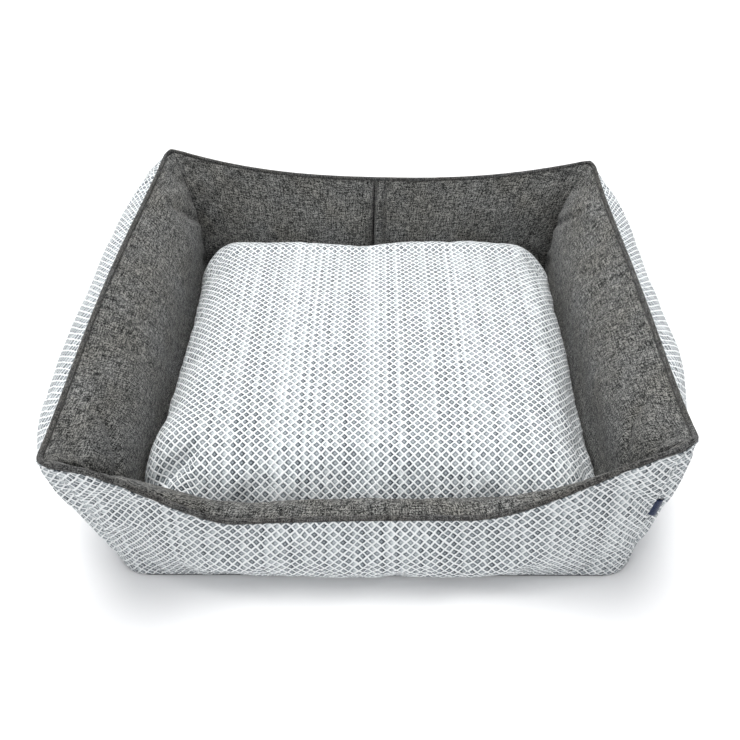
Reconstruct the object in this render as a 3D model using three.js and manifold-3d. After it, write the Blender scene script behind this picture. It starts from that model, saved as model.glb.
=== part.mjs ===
// A pet bed: four padded walls sewn round a floor, a low entry in the front wall, piping along the
// whole top seam, and a loose cushion with a zipped cover.
// Millimetres, +Z up. The wide side runs along X, the entry faces -Y, and the floor is at Z = 0.

import * as THREE from 'three';
import { mergeVertices } from 'three/addons/utils/BufferGeometryUtils.js';
import Module from 'manifold-3d';

const wasm = await Module();
wasm.setup();

// ---- Driving dimensions: the walls ----
const RIM_WIDTH = 700;          // between the piping at the left and right corners
const RIM_DEPTH = 650;          // between the piping at the front and back corners
const CORNER_HEIGHT = 247;      // centre of the piping at the four corners
const SIDE_HEIGHT = 228;        // the same at the middle of a side wall
const BACK_HEIGHT = 207;        // at the middle of the back wall
const ENTRY_HEIGHT = 124;       // at the middle of the front wall
const ENTRY_FLAT = 0.36;        // share of the half front that stays at the entry's height
const SIDE_BOW = 13;            // how far the side's rim curves out at its middle
const BACK_BOW = -3;
const FRONT_BOW = -13;
const CORNER_ROUNDING = 24;     // plan radius of the four corners
const BASE_INSET = 17;          // the floor seam lies this far inside the rim
const INNER_INSET = 56;         // foot of the inner face, inside the rim
const SIDE_BULGE = 87;          // handle length that swells the outer face of a side wall
const BACK_BULGE = 74;
const FRONT_BULGE = 14;
const CORNER_BULGE = 12;
const ENTRY_ROLL = 18;          // how high the padding rolls over the entry's piping

// ---- Driving dimensions: cloth, piping and floor ----
const CLOTH = 1.2;              // cover cloth with its backing
const GAP = 0.5;                // between a cover and its filling
const SEAM_GAP = 1.0;           // between two walls at a corner seam
const LAYER_GAP = 0.4;          // between the layers of the floor
const PIPING_RADIUS = 3;
const PIPING_COVER = 1;         // thickness of the strip round the piping's cord
const PIPING_SLIT = 25;         // half angle of the opening where the cover's two edges meet, degrees
const CHANNEL_WIDTH = 10;       // sewn channel that parts the back filling at its middle
const BASE_CLOTH = 1.6;
const WADDING = 9;

// ---- Driving dimensions: the cushion and its zip ----
const CUSHION_EASE = 2;         // between the cushion's edge and the foot of the walls
const CUSHION_CORNER = 60;
const CUSHION_DEPTH = 130;      // bottom to crown
const CUSHION_SEAM = 42;        // height of the edge seam over the cushion's bottom
const UNDERSIDE_RISE = [[0, 1], [8, 0.84], [36, 0.1], [55, 0]];   // inset, share of the seam height
const ZIP_LENGTH = 440;
const TAPE_WIDTH = 15;
const TAPE_THICKNESS = 0.6;
const TAPE_LAP = 3;             // how much of the tape the cloth covers
const COIL_RADIUS = 1;
const COIL_SPACE = 0.95;        // from the zip's centre line to each coil
const PLAY = 0.35;              // running clearance of the slider
const SLIDER_LENGTH = 11;
const SLIDER_WIDTH = 8.4;
const SLIDER_PLATE = 1;
const STOP_LENGTH = 3;
const PULL_CLEARANCE = 5.4;     // between the hanging pull and the floor lining
const PULL_WIDTH = 6.4;
const PULL_THICKNESS = 1.2;

// ---- Driving dimensions: the side tab ----
const TAB_LENGTH = 25;
const TAB_REACH = 13;
const TAB_THICKNESS = 0.8;
const TAB_HEIGHT = 118;         // its lower edge over the floor

const WALL_FOOT = BASE_CLOTH + LAYER_GAP;
const FLOOR_TOP = WALL_FOOT + WADDING + LAYER_GAP + CLOTH;
const CUSHION_BOTTOM = FLOOR_TOP + LAYER_GAP;

// ---- Materials ----
const material = (color, roughness, metalness = 0) =>
  new THREE.MeshStandardMaterial({ color, roughness, metalness });
const latticeCloth = material(0xd5dadb, 0.9);
const charcoalLinen = material(0x4a4b4a, 0.92);
const pipingCloth = material(0x38393a, 0.9);
const pipingCord = material(0xe6e3da, 0.9);
const fibreFilling = material(0xf3f3ef, 1);
const baseCloth = material(0x2c2d2f, 0.85);
const tabCloth = material(0x1d2a44, 0.8);
const zipNylon = material(0x8f9496, 0.6);
const zipTape = material(0xa9adae, 0.9);
const sliderMetal = material(0xb9bcc0, 0.35, 1);

// ---- Solids from stacked loops of points ----
// Each loop runs anticlockwise when it is seen against the direction in which the loops follow
// each other, so that the faces between two loops point outwards. A four-sided face is split along
// one diagonal, or along the other where mirrored says so, which lets a cover follow its filling.
function loft(loops, options = {}) {
  const { closed = false, mirrored = () => false, flat = null, startTip = null, endTip = null } = options;
  const count = loops[0].length;
  const points = loops.flat();
  const faces = [];
  const spans = closed ? loops.length : loops.length - 1;
  for (let j = 0; j < spans; j += 1) {
    const here = j * count;
    const next = ((j + 1) % loops.length) * count;
    for (let i = 0; i < count; i += 1) {
      const k = (i + 1) % count;
      if (mirrored(j, i)) faces.push(here + i, next + i, here + k, next + i, next + k, here + k);
      else faces.push(here + i, next + i, next + k, here + i, next + k, here + k);
    }
  }
  const last = (loops.length - 1) * count;
  if (flat) {
    for (const [a, b, c] of THREE.ShapeUtils.triangulateShape(flat[0], [])) faces.push(a, b, c);
    for (const [a, b, c] of THREE.ShapeUtils.triangulateShape(flat[1], [])) {
      faces.push(last + a, last + c, last + b);
    }
  }
  if (startTip) {
    points.push(startTip, endTip);
    for (let i = 0; i < count; i += 1) {
      const k = (i + 1) % count;
      faces.push(points.length - 2, i, k, points.length - 1, last + k, last + i);
    }
  }
  const geometry = new THREE.BufferGeometry().setFromPoints(points);
  geometry.setIndex(faces);
  return geometry;
}

function solidOf(geometry) {
  const plain = geometry.clone();
  plain.deleteAttribute('normal');
  plain.deleteAttribute('uv');
  const merged = mergeVertices(plain, 1e-4);
  return new wasm.Manifold(new wasm.Mesh({
    numProp: 3,
    vertProperties: new Float32Array(merged.attributes.position.array),
    triVerts: new Uint32Array(merged.index.array),
  }));
}

function geometryOf(solid) {
  const mesh = solid.getMesh();
  const geometry = new THREE.BufferGeometry();
  geometry.setAttribute('position', new THREE.BufferAttribute(mesh.vertProperties.slice(), 3));
  geometry.setIndex(new THREE.BufferAttribute(mesh.triVerts.slice(), 1));
  return geometry;
}

function named(name, geometry, cloth) {
  const mesh = new THREE.Mesh(geometry, cloth);
  mesh.name = name;
  return mesh;
}

// ---- Wall sections ----
// A section lies across a wall. Its first value is the distance outwards from the straight line
// between the rim's corners, its second is the height. U runs from -1 to 1 along the wall.
const mix = (a, b, share) => a + (b - a) * share;
const smooth = (x) => { const t = Math.min(1, Math.max(0, x)); return t * t * (3 - 2 * t); };

const evenStations = [0, 0.3, 0.55, 0.75, 0.89, 0.96, 1];
const entryStations = [0, 0.18, 0.34, 0.45, 0.56, 0.66, 0.76, 0.86, 0.93, 0.97, 1];

const sideWall = {
  half: RIM_DEPTH / 2, out: RIM_WIDTH / 2, stations: evenStations, bow: SIDE_BOW,
  bulge: SIDE_BULGE, kick: 48, bulgeHeight: 0.935, lowerHandle: 0.24,
  rise: (u) => mix(SIDE_HEIGHT, CORNER_HEIGHT, u ** 4),
  innerUpper: (h) => [28, h - 30], innerLower: (h) => [3, 0.4 * h],
};
const backWall = {
  ...sideWall, half: RIM_WIDTH / 2, out: RIM_DEPTH / 2, bow: BACK_BOW, bulge: BACK_BULGE,
  rise: (u) => mix(BACK_HEIGHT, CORNER_HEIGHT, Math.abs(u) ** 2.5),
  innerUpper: (h) => [22, h - 25], innerLower: (h) => [3, 0.45 * h],
};
const frontWall = {
  ...backWall, stations: entryStations, bow: FRONT_BOW, bulge: FRONT_BULGE,
  kick: 24, bulgeHeight: 0.8, lowerHandle: 0.3,
  rise: (u) => mix(ENTRY_HEIGHT, CORNER_HEIGHT, smooth((Math.abs(u) - ENTRY_FLAT) / (1 - ENTRY_FLAT))),
  innerUpper: (h) => [20, h + ENTRY_ROLL], innerLower: (h) => [4, h + 0.65 * ENTRY_ROLL],
};
const cornerSection = {
  bulge: CORNER_BULGE, kick: 4, bulgeHeight: 0.9, lowerHandle: 0.24,
  innerUpper: (h) => [24, h - 30], innerLower: (h) => [3, 0.4 * h],
};

function cornerPull(wall, u) {
  const reach = Math.SQRT1_2 * CORNER_ROUNDING;
  const along = Math.max(0, 1 - ((1 - Math.abs(u)) * wall.half) / reach);
  return (1 - Math.SQRT1_2) * CORNER_ROUNDING * along ** 2;
}

function sectionAt(wall, u) {
  const toCorner = wall === frontWall
    ? smooth((Math.abs(u) - ENTRY_FLAT) / (1 - ENTRY_FLAT)) : Math.abs(u) ** 4;
  const pull = cornerPull(wall, u);
  const height = wall.rise(u);
  const rim = new THREE.Vector2(wall.bow * (1 - u * u) - pull, height);
  const blend = (key) => mix(wall[key], cornerSection[key], toCorner);
  const blendPair = (key) => wall[key](height).map(
    (value, i) => mix(value, cornerSection[key](height)[i], toCorner));
  const foot = new THREE.Vector2(-BASE_INSET - pull, WALL_FOOT);
  const innerFoot = new THREE.Vector2(-INNER_INSET - pull, WALL_FOOT);
  const [upperIn, upperZ] = blendPair('innerUpper');
  const [lowerOut, lowerZ] = blendPair('innerLower');
  const outerUpper = new THREE.Vector2(rim.x + blend('bulge'), height * blend('bulgeHeight'));
  const outerLower = new THREE.Vector2(foot.x + blend('kick'), height * blend('lowerHandle'));
  const innerUpper = new THREE.Vector2(rim.x - upperIn, upperZ);
  const innerLower = new THREE.Vector2(innerFoot.x + lowerOut, lowerZ);
  const besideRim = (handle) => handle.clone().sub(rim).setLength(PIPING_RADIUS + GAP + 0.2).add(rim);
  return {
    rim,
    outer: curvePoints([foot, outerLower, outerUpper, besideRim(outerUpper)]),
    inner: curvePoints([besideRim(innerUpper), innerUpper, innerLower, innerFoot]),
  };
}

const CURVE_STEPS = 5;
function curvePoints([a, b, c, d]) {
  const curve = new THREE.CubicBezierCurve(a, b, c, d);
  const list = [];
  for (let i = 0; i <= CURVE_STEPS; i += 1) {
    const point = curve.getPoint(i / CURVE_STEPS);
    const along = curve.getTangent(i / CURVE_STEPS);
    list.push({ point, normal: new THREE.Vector2(along.y, -along.x) });
  }
  return list;
}

const offset = (list, depth) => list.map(
  ({ point, normal }) => point.clone().addScaledVector(normal, -depth));

const clothLoop = (list) => [...offset(list, 0), ...offset(list, CLOTH).reverse()];

function fillingLoop({ rim, outer, inner }) {
  const depth = CLOTH + GAP;
  const underRim = outer.at(-1).normal.clone().add(inner[0].normal)
    .setLength(-(PIPING_RADIUS + GAP + 0.7)).add(rim);
  return [...offset(outer, depth), underRim, ...offset(inner, depth)];
}

function pipingAngles(section, from, to, steps) {
  const down = section.outer.at(-1).normal.clone().add(section.inner[0].normal).negate().angle();
  return Array.from({ length: steps + 1 }, (_, i) => down + mix(from, to, i / steps));
}

function ringPoints(section, radius, from, to, steps) {
  return pipingAngles(section, from, to, steps).map((angle) => new THREE.Vector2(
    section.rim.x + radius * Math.cos(angle), section.rim.y + radius * Math.sin(angle)));
}

const pipingCordRadius = PIPING_RADIUS - PIPING_COVER - 0.8 * GAP;

function pipingCoverLoop(section) {
  const slit = THREE.MathUtils.degToRad(PIPING_SLIT);
  const turn = 2 * Math.PI - slit;
  return [...ringPoints(section, PIPING_RADIUS, slit, turn, 7),
    ...ringPoints(section, PIPING_RADIUS - PIPING_COVER, slit, turn, 7).reverse()];
}

const pipingCordLoop = (section) =>
  ringPoints(section, pipingCordRadius, 0, 2 * Math.PI, 6).slice(0, -1);

// ---- Placing sections round the bed ----
const placings = {
  right: { wall: sideWall, outward: [1, 0] },
  back: { wall: backWall, outward: [0, 1] },
  left: { wall: sideWall, outward: [-1, 0] },
  front: { wall: frontWall, outward: [0, -1] },
};

function stationsOf(wall, from = -1, to = 1) {
  const half = wall.stations;
  return [...half.slice(1).reverse().map((u) => -u), ...half].filter((u) => u >= from && u <= to);
}

// A corner seam leaves SEAM_GAP to each wall, and a channel parts a wall at its middle.
function placed({ wall, outward: [ox, oy] }, loop, u, seam, channel = 0) {
  return loop.map(({ x: out, y: height }) => {
    const along = Math.sign(u || channel) * Math.abs(channel) * (1 - Math.abs(u))
      + u * (wall.half + out - seam);
    const away = wall.out + out;
    return new THREE.Vector3(ox * away - oy * along, oy * away + ox * along, height);
  });
}

function wallPiece(side, loopOf, { from = -1, to = 1, channel = 0 } = {}) {
  const placing = placings[side];
  const stations = stationsOf(placing.wall, from, to);
  const flats = stations.map((u) => loopOf(sectionAt(placing.wall, u)));
  const loops = flats.map((flat, i) => placed(placing, flat, stations[i], SEAM_GAP, channel));
  const isCover = loopOf !== fillingLoop;
  return loft(loops, { flat: [flats[0], flats.at(-1)], mirrored: (j, i) => isCover && i > CURVE_STEPS });
}

function rimPiece(loopOf) {
  const loops = Object.values(placings).flatMap((placing) => stationsOf(placing.wall).slice(0, -1)
    .map((u) => placed(placing, loopOf(sectionAt(placing.wall, u)), u, 0)));
  return loft(loops, { closed: true });
}

const outerLoop = ({ outer }) => clothLoop(outer);
const innerLoop = ({ inner }) => clothLoop(inner);
const leftHalf = { from: 0, channel: CHANNEL_WIDTH / 2 };
const rightHalf = { to: 0, channel: -CHANNEL_WIDTH / 2 };
const leftSeam = { from: 0, channel: GAP };
const rightSeam = { to: 0, channel: -GAP };

function walls() {
  const group = new THREE.Group();
  for (const side of ['front', 'back', 'left', 'right']) {
    group.add(named(`outer_${side}_panel`, wallPiece(side, outerLoop), latticeCloth));
  }
  for (const side of ['front', 'left', 'right']) {
    group.add(named(`inner_${side}_panel`, wallPiece(side, innerLoop), charcoalLinen));
    group.add(named(`${side}_wall_filling`, wallPiece(side, fillingLoop), fibreFilling));
  }
  group.add(named('inner_back_left_panel', wallPiece('back', innerLoop, leftSeam), charcoalLinen));
  group.add(named('inner_back_right_panel', wallPiece('back', innerLoop, rightSeam), charcoalLinen));
  group.add(named('back_left_wall_filling', wallPiece('back', fillingLoop, leftHalf), fibreFilling));
  group.add(named('back_right_wall_filling', wallPiece('back', fillingLoop, rightHalf), fibreFilling));
  group.add(named('piping_cover', rimPiece(pipingCoverLoop), pipingCloth));
  group.add(named('piping_cord', rimPiece(pipingCordLoop), pipingCord));
  return group;
}

// ---- Floor ----
function roundedRectangle(halfWidth, halfDepth, radius, arcSteps = 4, sideSteps = 3) {
  const corners = [[1, 1], [-1, 1], [-1, -1], [1, -1]];
  const points = [];
  corners.forEach(([sx, sy], corner) => {
    for (let i = 0; i <= arcSteps; i += 1) {
      const angle = (corner + i / arcSteps) * (Math.PI / 2);
      points.push(new THREE.Vector2(sx * (halfWidth - radius) + radius * Math.cos(angle),
        sy * (halfDepth - radius) + radius * Math.sin(angle)));
    }
    const [nx, ny] = corners[(corner + 1) % 4];
    const start = points.at(-1);
    const startAngle = (corner + 1) * (Math.PI / 2);
    const end = new THREE.Vector2(nx * (halfWidth - radius) + radius * Math.cos(startAngle),
      ny * (halfDepth - radius) + radius * Math.sin(startAngle));
    for (let i = 1; i < sideSteps; i += 1) points.push(start.clone().lerp(end, i / sideSteps));
  });
  return points;
}

function floorLayer(inset, radius, bottom, thickness) {
  const outline = roundedRectangle(RIM_WIDTH / 2 - inset, RIM_DEPTH / 2 - inset, radius);
  const layer = new THREE.ExtrudeGeometry(new THREE.Shape(outline), { depth: thickness, bevelEnabled: false });
  return layer.translate(0, 0, bottom);
}

function floor() {
  const group = new THREE.Group();
  const inside = INNER_INSET + GAP;
  const corner = CORNER_ROUNDING + 8;
  group.add(named('base_panel', floorLayer(BASE_INSET, CORNER_ROUNDING, 0, BASE_CLOTH), baseCloth));
  group.add(named('floor_wadding', floorLayer(inside, corner, WALL_FOOT, WADDING), fibreFilling));
  const liningBottom = WALL_FOOT + WADDING + LAYER_GAP;
  group.add(named('floor_lining', floorLayer(inside, corner, liningBottom, CLOTH), charcoalLinen));
  return group;
}

// ---- Cushion ----
// A profile runs from the cushion's edge to its middle: the inset from the edge, then the height.
const cushionHalfWidth = RIM_WIDTH / 2 - INNER_INSET - CUSHION_EASE;
const cushionHalfDepth = RIM_DEPTH / 2 - INNER_INSET - CUSHION_EASE;
const seamHeight = CUSHION_BOTTOM + CUSHION_SEAM;
const crownHeight = CUSHION_DEPTH - CUSHION_SEAM;
const crownInsets = [0, 6, 18, 40, 80, 140];

const crownRise = (inset) => crownHeight * (1 - (1 - inset / cushionHalfDepth) ** 3.5) ** 0.6;
const topProfile = crownInsets.map((inset) => new THREE.Vector2(inset, seamHeight + crownRise(inset)));
const bottomProfile = UNDERSIDE_RISE.map(
  ([inset, share]) => new THREE.Vector2(inset, CUSHION_BOTTOM + share * CUSHION_SEAM));

function shrunkProfile(profile, depth, facing) {
  return profile.map((point, i) => {
    if (i === 0) return new THREE.Vector2(point.x + depth, point.y + facing * GAP / 2);
    const before = profile[i - 1];
    const after = profile[i + 1] ?? new THREE.Vector2(point.x + 1, point.y);
    const arriving = point.clone().sub(before).normalize();
    const along = after.clone().sub(point).normalize().add(arriving).normalize();
    return new THREE.Vector2(point.x + facing * depth * along.y, point.y - facing * depth * along.x);
  });
}

function ring({ x: inset, y: height }) {
  const radius = Math.max(CUSHION_CORNER - inset, 14);
  return roundedRectangle(cushionHalfWidth - inset, cushionHalfDepth - inset, radius)
    .map((p) => new THREE.Vector3(p.x, p.y, height));
}

const tip = (height) => new THREE.Vector3(0, 0, height);

function cushionTopPanel() {
  const inner = shrunkProfile(topProfile, CLOTH, 1).reverse();
  const outer = shrunkProfile(topProfile, 0, 1);
  const crown = seamHeight + crownHeight;
  return loft([...outer.reverse(), ...inner.reverse()].map(ring),
    { startTip: tip(crown), endTip: tip(crown - CLOTH), mirrored: (j) => j >= outer.length });
}

function cushionUnderside() {
  const outer = shrunkProfile(bottomProfile, 0, -1).reverse();
  const inner = shrunkProfile(bottomProfile, CLOTH, -1);
  return loft([...inner.reverse(), ...outer.reverse()].map(ring),
    { startTip: tip(CUSHION_BOTTOM + CLOTH), endTip: tip(CUSHION_BOTTOM), mirrored: (j) => j < outer.length });
}

function cushionFilling() {
  const depth = CLOTH + GAP;
  const upper = shrunkProfile(topProfile, depth, 1).reverse();
  const lower = shrunkProfile(bottomProfile, depth, -1);
  return loft([...upper, ...lower].map(ring),
    { startTip: tip(seamHeight + crownHeight - depth), endTip: tip(CUSHION_BOTTOM + depth) });
}

// ---- Zip ----
// It lies on the slope of the underside behind the flat middle. In its own frame X runs along the
// zip, Y up the slope towards the edge seam, +Z into the cushion, and Z = 0 is the cloth's face.
const slopeStart = bottomProfile[1];
const slopeEnd = bottomProfile[2];
const zipSlope = Math.atan2(slopeStart.y - slopeEnd.y, slopeEnd.x - slopeStart.x);
const zipPlace = new THREE.Vector3(0, cushionHalfDepth - (slopeStart.x + slopeEnd.x) / 2,
  (slopeStart.y + slopeEnd.y) / 2);
const slotHalfWidth = COIL_SPACE + TAPE_WIDTH - TAPE_LAP;
const tapeHeight = CLOTH + 0.3;
const coilHeight = tapeHeight - PLAY - COIL_RADIUS;
const sliderStart = -ZIP_LENGTH / 2 + STOP_LENGTH + SLIDER_LENGTH / 2 + 2.5;

const zipFrame = () => {
  const group = new THREE.Group();
  group.position.copy(zipPlace);
  group.rotation.x = zipSlope;
  return group;
};

function box([x0, x1], [y0, y1], [z0, z1]) {
  return new THREE.BoxGeometry(x1 - x0, y1 - y0, z1 - z0)
    .translate((x0 + x1) / 2, (y0 + y1) / 2, (z0 + z1) / 2);
}

function cutter(xRange, yRange, zRange) {
  const frame = zipFrame();
  frame.updateMatrix();
  return solidOf(box(xRange, yRange, zRange).applyMatrix4(frame.matrix));
}

function cushion() {
  const group = new THREE.Group();
  const far = RIM_WIDTH;
  const slotEnd = ZIP_LENGTH / 2 + TAPE_LAP;
  const slot = cutter([-slotEnd, slotEnd], [-slotHalfWidth, slotHalfWidth], [-TAPE_WIDTH, TAPE_WIDTH]);
  const underside = solidOf(cushionUnderside()).subtract(slot);
  const frontOfZip = underside.subtract(cutter([-far, far], [-GAP / 2, far], [-far, far]));
  const behindZip = underside.subtract(cutter([-far, far], [-far, GAP / 2], [-far, far]));
  const tapeRoom = slotHalfWidth + TAPE_LAP + GAP;
  const roomDepth = tapeHeight + TAPE_THICKNESS + PLAY + SLIDER_PLATE + 2 * GAP;
  const room = cutter([-slotEnd - 2 * TAPE_LAP, slotEnd + 2 * TAPE_LAP], [-tapeRoom, tapeRoom],
    [-TAPE_WIDTH, roomDepth]);
  const filling = solidOf(cushionFilling()).subtract(room);
  group.add(named('cushion_top_panel', cushionTopPanel(), latticeCloth));
  group.add(named('cushion_bottom_panel', geometryOf(frontOfZip), latticeCloth));
  group.add(named('cushion_rear_strip', geometryOf(behindZip), latticeCloth));
  group.add(named('cushion_filling', geometryOf(filling), fibreFilling));
  group.add(zip());
  return group;
}

function zip() {
  const group = zipFrame();
  const end = ZIP_LENGTH / 2;
  const coilLength = ZIP_LENGTH - 2 * (STOP_LENGTH + 2);
  for (const [place, sign] of [['front', -1], ['rear', 1]]) {
    const across = (from, to) => [from * sign, to * sign].sort((a, b) => a - b);
    const tape = box([-end - TAPE_LAP, end + TAPE_LAP], across(COIL_SPACE, COIL_SPACE + TAPE_WIDTH),
      [tapeHeight, tapeHeight + TAPE_THICKNESS]);
    const coil = new THREE.CylinderGeometry(COIL_RADIUS, COIL_RADIUS, coilLength, 8)
      .rotateZ(Math.PI / 2).translate(0, sign * (COIL_SPACE + COIL_RADIUS), coilHeight);
    const stop = box([-end + 1, -end + 1 + STOP_LENGTH], across(COIL_SPACE, COIL_SPACE + 2 * COIL_RADIUS),
      [coilHeight - COIL_RADIUS, coilHeight + COIL_RADIUS]);
    group.add(named(`zip_tape_${place}`, tape, zipTape));
    group.add(named(`zip_coil_${place}`, coil, zipNylon));
    group.add(named(`zip_top_stop_${place}`, stop, sliderMetal));
  }
  const across = COIL_SPACE + 2 * COIL_RADIUS;
  const bottomStop = box([end - 1 - STOP_LENGTH, end - 1], [-across, across],
    [coilHeight - COIL_RADIUS, coilHeight + COIL_RADIUS]);
  group.add(named('zip_bottom_stop', bottomStop, sliderMetal));
  const slider = new THREE.Group();
  slider.position.x = sliderStart;
  slider.add(named('zip_slider', sliderBody(), sliderMetal));
  const pull = named('zip_pull', pullTab(), sliderMetal);
  pull.position.z = pullAxisHeight;
  pull.rotation.y = Math.PI / 2;
  slider.add(pull);
  group.add(slider);
  return group;
}

// The slider: two plates that are wider at the shoulders, a divider between the coils, and an arch
// over the outer plate that holds the pull.
const outerPlateTop = coilHeight - COIL_RADIUS - PLAY;
const innerPlateBottom = tapeHeight + TAPE_THICKNESS + PLAY;
const archOpening = PULL_THICKNESS + 2 * PLAY;
const archHalfLength = 4.4;
const archHalfWidth = 0.9;
const archThickness = 0.9;
const weld = 0.2;               // how far joined pieces run into each other
const pullAxisHeight = outerPlateTop - SLIDER_PLATE - archOpening / 2;
const pullReach = (zipPlace.z - FLOOR_TOP - PULL_CLEARANCE) / Math.cos(zipSlope) + pullAxisHeight;

function sliderPlate(bottom) {
  const half = SLIDER_LENGTH / 2;
  const shoulder = SLIDER_WIDTH / 2;
  const tail = shoulder * 0.72;
  const outline = new THREE.Shape();
  outline.moveTo(half, -tail);
  outline.quadraticCurveTo(half + 0.8, 0, half, tail);
  outline.lineTo(-half * 0.2, shoulder);
  outline.quadraticCurveTo(-half, shoulder, -half, shoulder * 0.4);
  outline.lineTo(-half, -shoulder * 0.4);
  outline.quadraticCurveTo(-half, -shoulder, -half * 0.2, -shoulder);
  outline.closePath();
  return new THREE.ExtrudeGeometry(outline, { depth: SLIDER_PLATE, bevelEnabled: false, curveSegments: 4 })
    .translate(0, 0, bottom);
}

function sliderBody() {
  const outerBottom = outerPlateTop - SLIDER_PLATE;
  const archBottom = outerBottom - archOpening;
  const divider = COIL_SPACE - 0.5;
  const post = archHalfLength - archThickness;
  const archAcross = [-archHalfWidth, archHalfWidth];
  const pieces = [
    sliderPlate(outerBottom),
    sliderPlate(innerPlateBottom),
    box([-SLIDER_LENGTH / 2 + 0.6, -SLIDER_LENGTH / 2 + 4], [-divider, divider],
      [outerPlateTop - weld, innerPlateBottom + weld]),
    box([-archHalfLength, archHalfLength], archAcross, [archBottom - archThickness, archBottom]),
    box([-archHalfLength, -post], archAcross, [archBottom - weld, outerBottom + weld]),
    box([post, archHalfLength], archAcross, [archBottom - weld, outerBottom + weld]),
  ].map(solidOf);
  return geometryOf(pieces.reduce((whole, piece) => whole.add(piece)));
}

// The pull: a bar under the arch, an arm on each side of it, and a grip beyond the arch's end. Its
// own frame has the bar at the origin and the grip along X. It hangs away from the cloth.
function pullTab() {
  const half = PULL_WIDTH / 2;
  const bar = PULL_THICKNESS / 2;
  const armInside = archHalfWidth + PLAY + 0.2;
  const gripStart = Math.hypot(archHalfLength, archOpening / 2 + archThickness) + 0.8;
  const grip = new THREE.Shape();
  grip.moveTo(gripStart, -half);
  const narrow = half * 0.8;
  grip.lineTo(pullReach - narrow, -narrow);
  grip.quadraticCurveTo(pullReach, -narrow, pullReach, 0);
  grip.quadraticCurveTo(pullReach, narrow, pullReach - narrow, narrow);
  grip.lineTo(gripStart, half);
  grip.closePath();
  const pieces = [
    new THREE.ExtrudeGeometry(grip, { depth: PULL_THICKNESS, bevelEnabled: false, curveSegments: 4 })
      .translate(0, 0, -bar),
    box([-bar, bar], [-half, half], [-bar, bar]),
    box([-bar, gripStart + weld], [-half, -armInside], [-bar, bar]),
    box([-bar, gripStart + weld], [armInside, half], [-bar, bar]),
  ].map(solidOf);
  return geometryOf(pieces.reduce((whole, piece) => whole.add(piece)));
}

// ---- Side tab ----
// A folded tab in the seam between the front and the right wall. It stands out along the diagonal.
function sideTab() {
  const section = sectionAt(sideWall, -1);
  const middle = TAB_HEIGHT + TAB_LENGTH / 2;
  const face = section.outer.reduce((near, { point }) => (
    Math.abs(point.y - middle) < Math.abs(near.y - middle) ? point : near), section.outer[0].point);
  const root = -CLOTH - 2;
  const tab = box([root, TAB_REACH], [-TAB_THICKNESS / 2, TAB_THICKNESS / 2], [0, TAB_LENGTH]);
  const mesh = named('side_tab', tab, tabCloth);
  mesh.position.set(RIM_WIDTH / 2 + face.x, -RIM_DEPTH / 2 - face.x, TAB_HEIGHT);
  mesh.rotation.z = -Math.PI / 4;
  return mesh;
}

// ---- The whole bed, with the middle of its box over the origin ----
const bed = new THREE.Group();
bed.add(walls(), floor(), cushion(), sideTab());
const middle = new THREE.Box3().setFromObject(bed).getCenter(new THREE.Vector3());
bed.position.set(-middle.x, -middle.y, 0);

export default bed;
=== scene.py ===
# %% [markdown]
# # A pet bed with padded walls and a loose cushion
#
# The real bed is sewn from two cloths. The outside of the walls and the cushion are a jacquard with a
# white lattice over grey. The inside of the walls is a charcoal cloth woven to look like linen. Loose
# polyester fibre fills the walls and the cushion, and a corded piping runs round the whole top seam.
#
# This script builds that bed in Blender around a frame that another tool made: the frame gives each
# piece's place and size, and the bodies that move. The cloth pieces are grids of points worked out from
# a few curves, because a sewn wall follows its seams, and a grid keeps the weave's direction. The
# cushion is then inflated by cloth simulation, because no formula gives the small folds at a full seam.

# %% Load the frame
import math

import bmesh
import bpy
import numpy as np
from mathutils import Matrix, Vector


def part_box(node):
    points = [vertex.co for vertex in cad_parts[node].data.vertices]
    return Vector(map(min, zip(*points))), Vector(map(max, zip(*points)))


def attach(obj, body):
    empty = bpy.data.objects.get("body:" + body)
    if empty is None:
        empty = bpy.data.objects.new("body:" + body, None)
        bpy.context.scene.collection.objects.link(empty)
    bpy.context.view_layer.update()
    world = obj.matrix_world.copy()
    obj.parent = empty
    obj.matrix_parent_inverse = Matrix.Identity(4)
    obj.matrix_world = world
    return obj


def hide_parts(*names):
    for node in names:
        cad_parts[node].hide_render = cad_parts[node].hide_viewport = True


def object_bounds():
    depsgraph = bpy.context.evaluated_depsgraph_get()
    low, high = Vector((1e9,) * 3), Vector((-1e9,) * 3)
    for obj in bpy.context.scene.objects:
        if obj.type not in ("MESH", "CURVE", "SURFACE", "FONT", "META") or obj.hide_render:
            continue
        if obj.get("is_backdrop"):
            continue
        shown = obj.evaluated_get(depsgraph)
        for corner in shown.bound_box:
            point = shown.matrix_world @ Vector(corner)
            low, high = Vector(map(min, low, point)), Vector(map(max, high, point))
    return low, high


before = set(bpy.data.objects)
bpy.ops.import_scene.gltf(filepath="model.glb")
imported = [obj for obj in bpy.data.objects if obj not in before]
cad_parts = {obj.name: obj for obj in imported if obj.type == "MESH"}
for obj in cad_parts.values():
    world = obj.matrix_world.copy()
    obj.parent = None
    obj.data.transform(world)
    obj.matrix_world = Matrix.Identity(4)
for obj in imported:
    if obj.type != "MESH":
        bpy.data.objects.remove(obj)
cad_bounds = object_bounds()
MM = 0.001

# %% [markdown]
# ## Sizes taken from the frame
#
# All making is done in millimetres, and each mesh is turned to metres as it is built. The base panel's
# box gives the middle of the bed, and the piping's box gives the highest and lowest place of the rim.
# What the frame doesn't hold, such as how much one side bows out more than the other, is named here.


# %% Driving sizes
def box_mm(node):
    low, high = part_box(node)
    return np.array(low) / MM, np.array(high) / MM


base_low, base_high = box_mm("base_panel")
piping_low, piping_high = box_mm("piping_cover")
lining_low, lining_high = box_mm("floor_lining")
cushion_low, cushion_high = box_mm("cushion_top_panel")

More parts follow.
